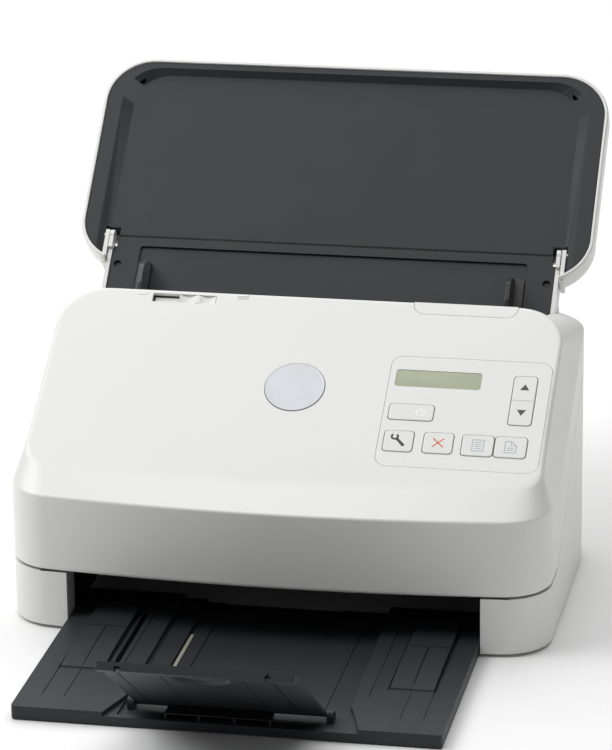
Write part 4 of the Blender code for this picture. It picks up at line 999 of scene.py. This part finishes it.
def guides():
    """The two paper guides on their racks: the left fin is smoky and clear, the right one is black."""
    pinion_radius = GUIDE_TEETH / 2
    pitch = math.pi
    for label, side in (("left", -1), ("right", 1)):
        line = RACK_S - side * pinion_radius
        ends = sorted((side * 113.0, -side * 12.0))
        teeth = [(ends[0], line - side * 5.0), (ends[0], line - side * 1.1)]
        start = math.ceil((ends[0] + 1.0) / pitch)
        for k in range(start, start + int((ends[1] - ends[0] - 2.0) / pitch)):
            for across, up in ((-1.15, -1.1), (-0.30, 0.8), (0.30, 0.8), (1.15, -1.1)):
                teeth.append((k * pitch + across, line + side * up))
        teeth += [(ends[1], line - side * 1.1), (ends[1], line - side * 5.0)]
        rack = prism(teeth, "Z", (-6.6, -4.2))
        bridge_s = sorted((RACK_S + side * 2.6, RACK_S - side * 6.3))
        join(rack, block(mirrored(side, 109.0, 113.6), (RACK_S - 2.6, RACK_S + 2.6), (-5.2, 0.8)))
        join(rack, block(mirrored(side, 104.0, 113.6), bridge_s, (-6.4, -4.4)))
        shoe = prism(rectangle(mirrored(side, 108.3, 116.4), (-52.0, -17.0), 1.2), "Z", (-1.1, 0.9))
        join(rack, soften(shoe, 0.3, 50.0))
        corners = [(-50.0, -0.6), (-50.0, 15.0), (-40.0, 17.0), (-28.0, 17.0), (-20.0, 8.0), (-18.0, -0.6)]
        fin = rounded(corners, (0, 3.0, 8.0, 5.0, 5.0, 0))
        blade = soften(prism(fin, "X", mirrored(side, 108.3, 111.0)), 0.4, 50.0)
        if side < 0:
            piece("guide_fin_left", moved(blade, TRAY_FRAME), "smoky", "guide_left")
        else:
            join(rack, blade)
        moved(rack, TRAY_FRAME)
        node = "paper_guide_" + label
        piece("guide_shoe_" + label, rack, "black_plastic", "guide_" + label, instead_of=(node,))


def output_tray():
    """The sliding tray: grooved pads, long thin grooves, a stepped channel and a low middle to its lip."""
    floor_z = 4.0
    above = 14.0
    pad_x = (80.0, 104.0)
    pad_front, pad_back = -178.0, -84.0
    groove_front = -216.0
    tray = prism(rectangle((-TRAY_HALF, TRAY_HALF), (TRAY_FRONT, TRAY_BACK), 2.0), "Z", (0.8, TRAY_TOP))
    for side in (-1, 1):
        pad = [(pad_front, TRAY_TOP - 1.0), (pad_front + 1.0, TRAY_TOP + 0.8)]
        pad += [(-150.0, 10.6), (pad_back, 10.6), (-74.0, 7.2)]
        join(tray, prism(pad, "X", mirrored(side, *pad_x)))
        grooves = (
            ((pad_x[0] - 1.0, pad_x[1] + 1.0), (-121.4, -120.6), 1.2),
            ((91.7, 92.3), (pad_front, -121.0), 0.7),
            ((91.7, 92.3), (groove_front, pad_front - 1.0), -0.5),
            ((pad_x[1], pad_x[1] + 1.2), (pad_front, pad_back), -1.6),
            ((104.2, 104.8), (groove_front, pad_front), -0.5),
            ((78.6, pad_x[0]), (pad_front, pad_back), -1.2),
            ((70.2, 70.8), (-190.0, -70.0), -0.5),
        )
        for x, y, bottom in grooves:
            cut(tray, block(mirrored(side, *x), y, (TRAY_TOP + bottom, above)))
        join(tray, block(mirrored(side, 115.0, TRAY_HALF + 2.1), (-101.0, TRAY_BACK), (3.1, 5.1)))
    channel = [(-60.0, -229.0), (66.0, -229.0), (63.0, -196.0)]
    channel += [(60.0, -50.0), (-60.0, -50.0), (-59.0, -196.0)]
    cut(tray, prism(channel, "Z", (floor_z, above)))
    lip = [(-69.0, -240.0), (75.0, -240.0), (64.5, -206.0), (-58.5, -206.0)]
    cut(tray, prism(lip, "Z", (5.7, above)))
    cut(tray, block((-76.6, -73.6), (-173.0, -89.0), (1.8, above)))
    cut(tray, block((-36.0, 34.0), (-204.0, -50.0), (floor_z - 0.7, above)))
    join(tray, block((-60.4, -46.4), (-204.0, TRAY_BACK), (3.0, 5.7)))
    cut(tray, block((48.6, 49.2), (-204.0, -64.0), (floor_z - 0.6, above)))
    join(tray, block((-33.0, 25.0), (-231.0, -221.4), (3.0, 9.2)))
    for low, high in ((-32.0, -14.8), (-13.6, 4.6), (5.8, 24.0)):
        cut(tray, block((low, high), (-234.0, -222.4), (5.9, 8.7)))
    for side in (-1, 1):
        ear = mirrored(side, STOP_HALF + 0.8, STOP_HALF + 4.4)
        boss = rod(2.7, ear, STOP_AXIS)
        join(boss, block(ear, (STOP_AXIS[0] - 2.7, STOP_AXIS[0] + 5.0), (3.0, STOP_AXIS[1])))
        join(tray, boss)
        cut(tray, rod(1.5, (ear[0] - 0.4, ear[1] + 0.4), STOP_AXIS, 24))
    soften(tray, 0.3, 50.0)
    piece("tray_skin", tray, "dark_plastic", "output_slide", instead_of=("output_tray",))
    strip = block((-45.4, -43.4), (-170.0, -112.0), (floor_z - 0.1, floor_z + 0.7))
    piece("tray_strip", soften(strip, 0.2, 50.0), "strip", "output_slide")


def paper_stop():
    """The flip up stop: a plate with a finger recess and a side arm, below a thicker bar with ribbed ends."""
    far = STOP_LENGTH - STOP_BAR
    outline = rectangle((-STOP_HALF, STOP_HALF), (-1.6, STOP_LENGTH), (1.5, 1.5, 0.8, 0.8))
    plate = prism(outline, "Z", (-1.6, 0.6))
    recess = prism(circle(16.0, (-1.0, far - 14.0), 120), "Z", (-3.0, 2.0))
    cut(plate, keep(recess, block((-30.0, 30.0), (0.0, far + 0.5), (-4.0, 3.0))))
    bar = prism(rectangle((-STOP_HALF, STOP_HALF), (far, STOP_LENGTH), 0.7), "Z", (-1.6, 3.1))
    join(plate, bar)
    for x in (-40.8, 38.2):
        cut(plate, block((x - 1.6, x + 1.6), (far - 1.0, STOP_LENGTH + 1.0), (0.4, 4.0)))
        join(plate, rod(0.9, (x - 1.7, x + 1.7), (STOP_LENGTH - 2.4, 1.2), 20))
    for x in (44.6, 46.2, 47.8):
        join(plate, rod(0.35, (x - 0.3, x + 0.3), (STOP_LENGTH - 0.2, 0.5), 12))
    cut(plate, block((37.7, 38.5), (6.0, STOP_LENGTH), (-0.9, 2.0)))
    cut(plate, block((-35.0, -29.0), (far - 7.0, far - 3.4), (-0.8, 2.0)))
    for x in (-44.0, -22.0, 22.0):
        cut(plate, block((x - 0.3, x + 0.3), (6.0, far - 12.0), (0.2, 2.0)))
    join(plate, rod(1.2, (-STOP_HALF - 4.0, STOP_HALF + 4.0), (0.0, 0.0), 24))
    soften(plate, 0.25, 50.0)
    place = leaning(STOP_LEAN, STOP_AXIS)
    piece("stop_skin", moved(plate, place), "dark_plastic", "stop_plate", instead_of=("paper_stop",))


def flap_ring(inset, n):
    """The flap's rounded outline, drawn in by an inset, at a level over its face."""
    span_x = (-FLAP_HALF + inset, FLAP_HALF - inset)
    span_s = (FLAP_EAR + inset, FLAP_TOP - inset)
    return [(x, s, n) for x, s in rectangle(span_x, span_s, FLAP_CORNER - inset, 20)]


def flap():
    """The wide flap: a white back shell around a dark dish with a sloping rim."""
    profile = [(5.0, -12.0), (3.0, -11.6), (1.2, -10.4), (0.3, -8.6), (0.0, -6.0), (0.0, 3.6)]
    profile += [(0.25, 4.4), (0.8, 4.9), (1.4, 5.0), (2.0, 4.9), (2.2, 4.6), (2.2, -9.6)]
    shell = loft([flap_ring(inset, n) for inset, n in profile])
    cut(shell, block((-FLAP_GAP_HALF, FLAP_GAP_HALF), (-40.0, 0.8), (-20.0, 20.0)))
    soften(shell, 0.3, 60.0)
    for side in (-1, 1):
        join(shell, block(mirrored(side, FLAP_GAP_HALF, 139.2), (-18.4, 3.0), (-11.0, 2.6)))
        cut(shell, rod(2.1, mirrored(side, 135.0, 146.0), (0.0, 0.0)))
    piece("flap_skin", moved(shell, TRAY_FRAME), "white_plastic", "input_flap", instead_of=("flap_shell",))

    plate = loft([flap_ring(inset, n) for inset, n in ((2.5, -9.2), (2.5, 3.9), (2.8, 4.2))])
    dish = rectangle((-137.0, 137.0), (-30.0, FLAP_TOP - 9.0), (0, 0, 22.0, 22.0), 24)
    rim = [(x * 1.068, s + (4.0 if s > 40 else -4.0), 6.0) for x, s in dish]
    cut(plate, loft([[(x, s, 0.0) for x, s in dish], rim]))
    cut(plate, block((-FLAP_GAP_HALF, FLAP_GAP_HALF), (-40.0, 1.0), (-20.0, 20.0)))
    for side in (-1, 1):
        cut(plate, block(mirrored(side, 131.0, 139.6), (-40.0, 6.0), (-20.0, 20.0)))
        cut(plate, rod(2.2, mirrored(side, 139.0, 146.0), (0.0, 0.0)))
        cut(plate, prism(circle(2.4, (side * 134.0, 110.0), 32), "Z", (-1.6, 2.0)))
    soften(plate, 0.3, 40.0)
    piece("flap_dish", moved(plate, TRAY_FRAME), "dark_plastic", "input_flap", instead_of=("flap_plate",))


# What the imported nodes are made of


def finish_nodes():
    """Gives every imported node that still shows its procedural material."""
    slots = {row["node"]: row["material_slot"] for row in frame["record"]["subparts"]}
    for name, item in frame["nodes"].items():
        item.data.materials.clear()
        item.data.materials.append(MATERIALS[slots[name]])
        item.data.shade_smooth()
        item.data.set_sharp_from_angle(angle=math.radians(32))


make_camera()
make_studio()
finish_nodes()
cover_shell()
control_panel()
key_icons()
sheet_marks()
emblem()
latch()
switch()
base()
rear()
arm()
guides()
flap()
output_tray()
paper_stop()
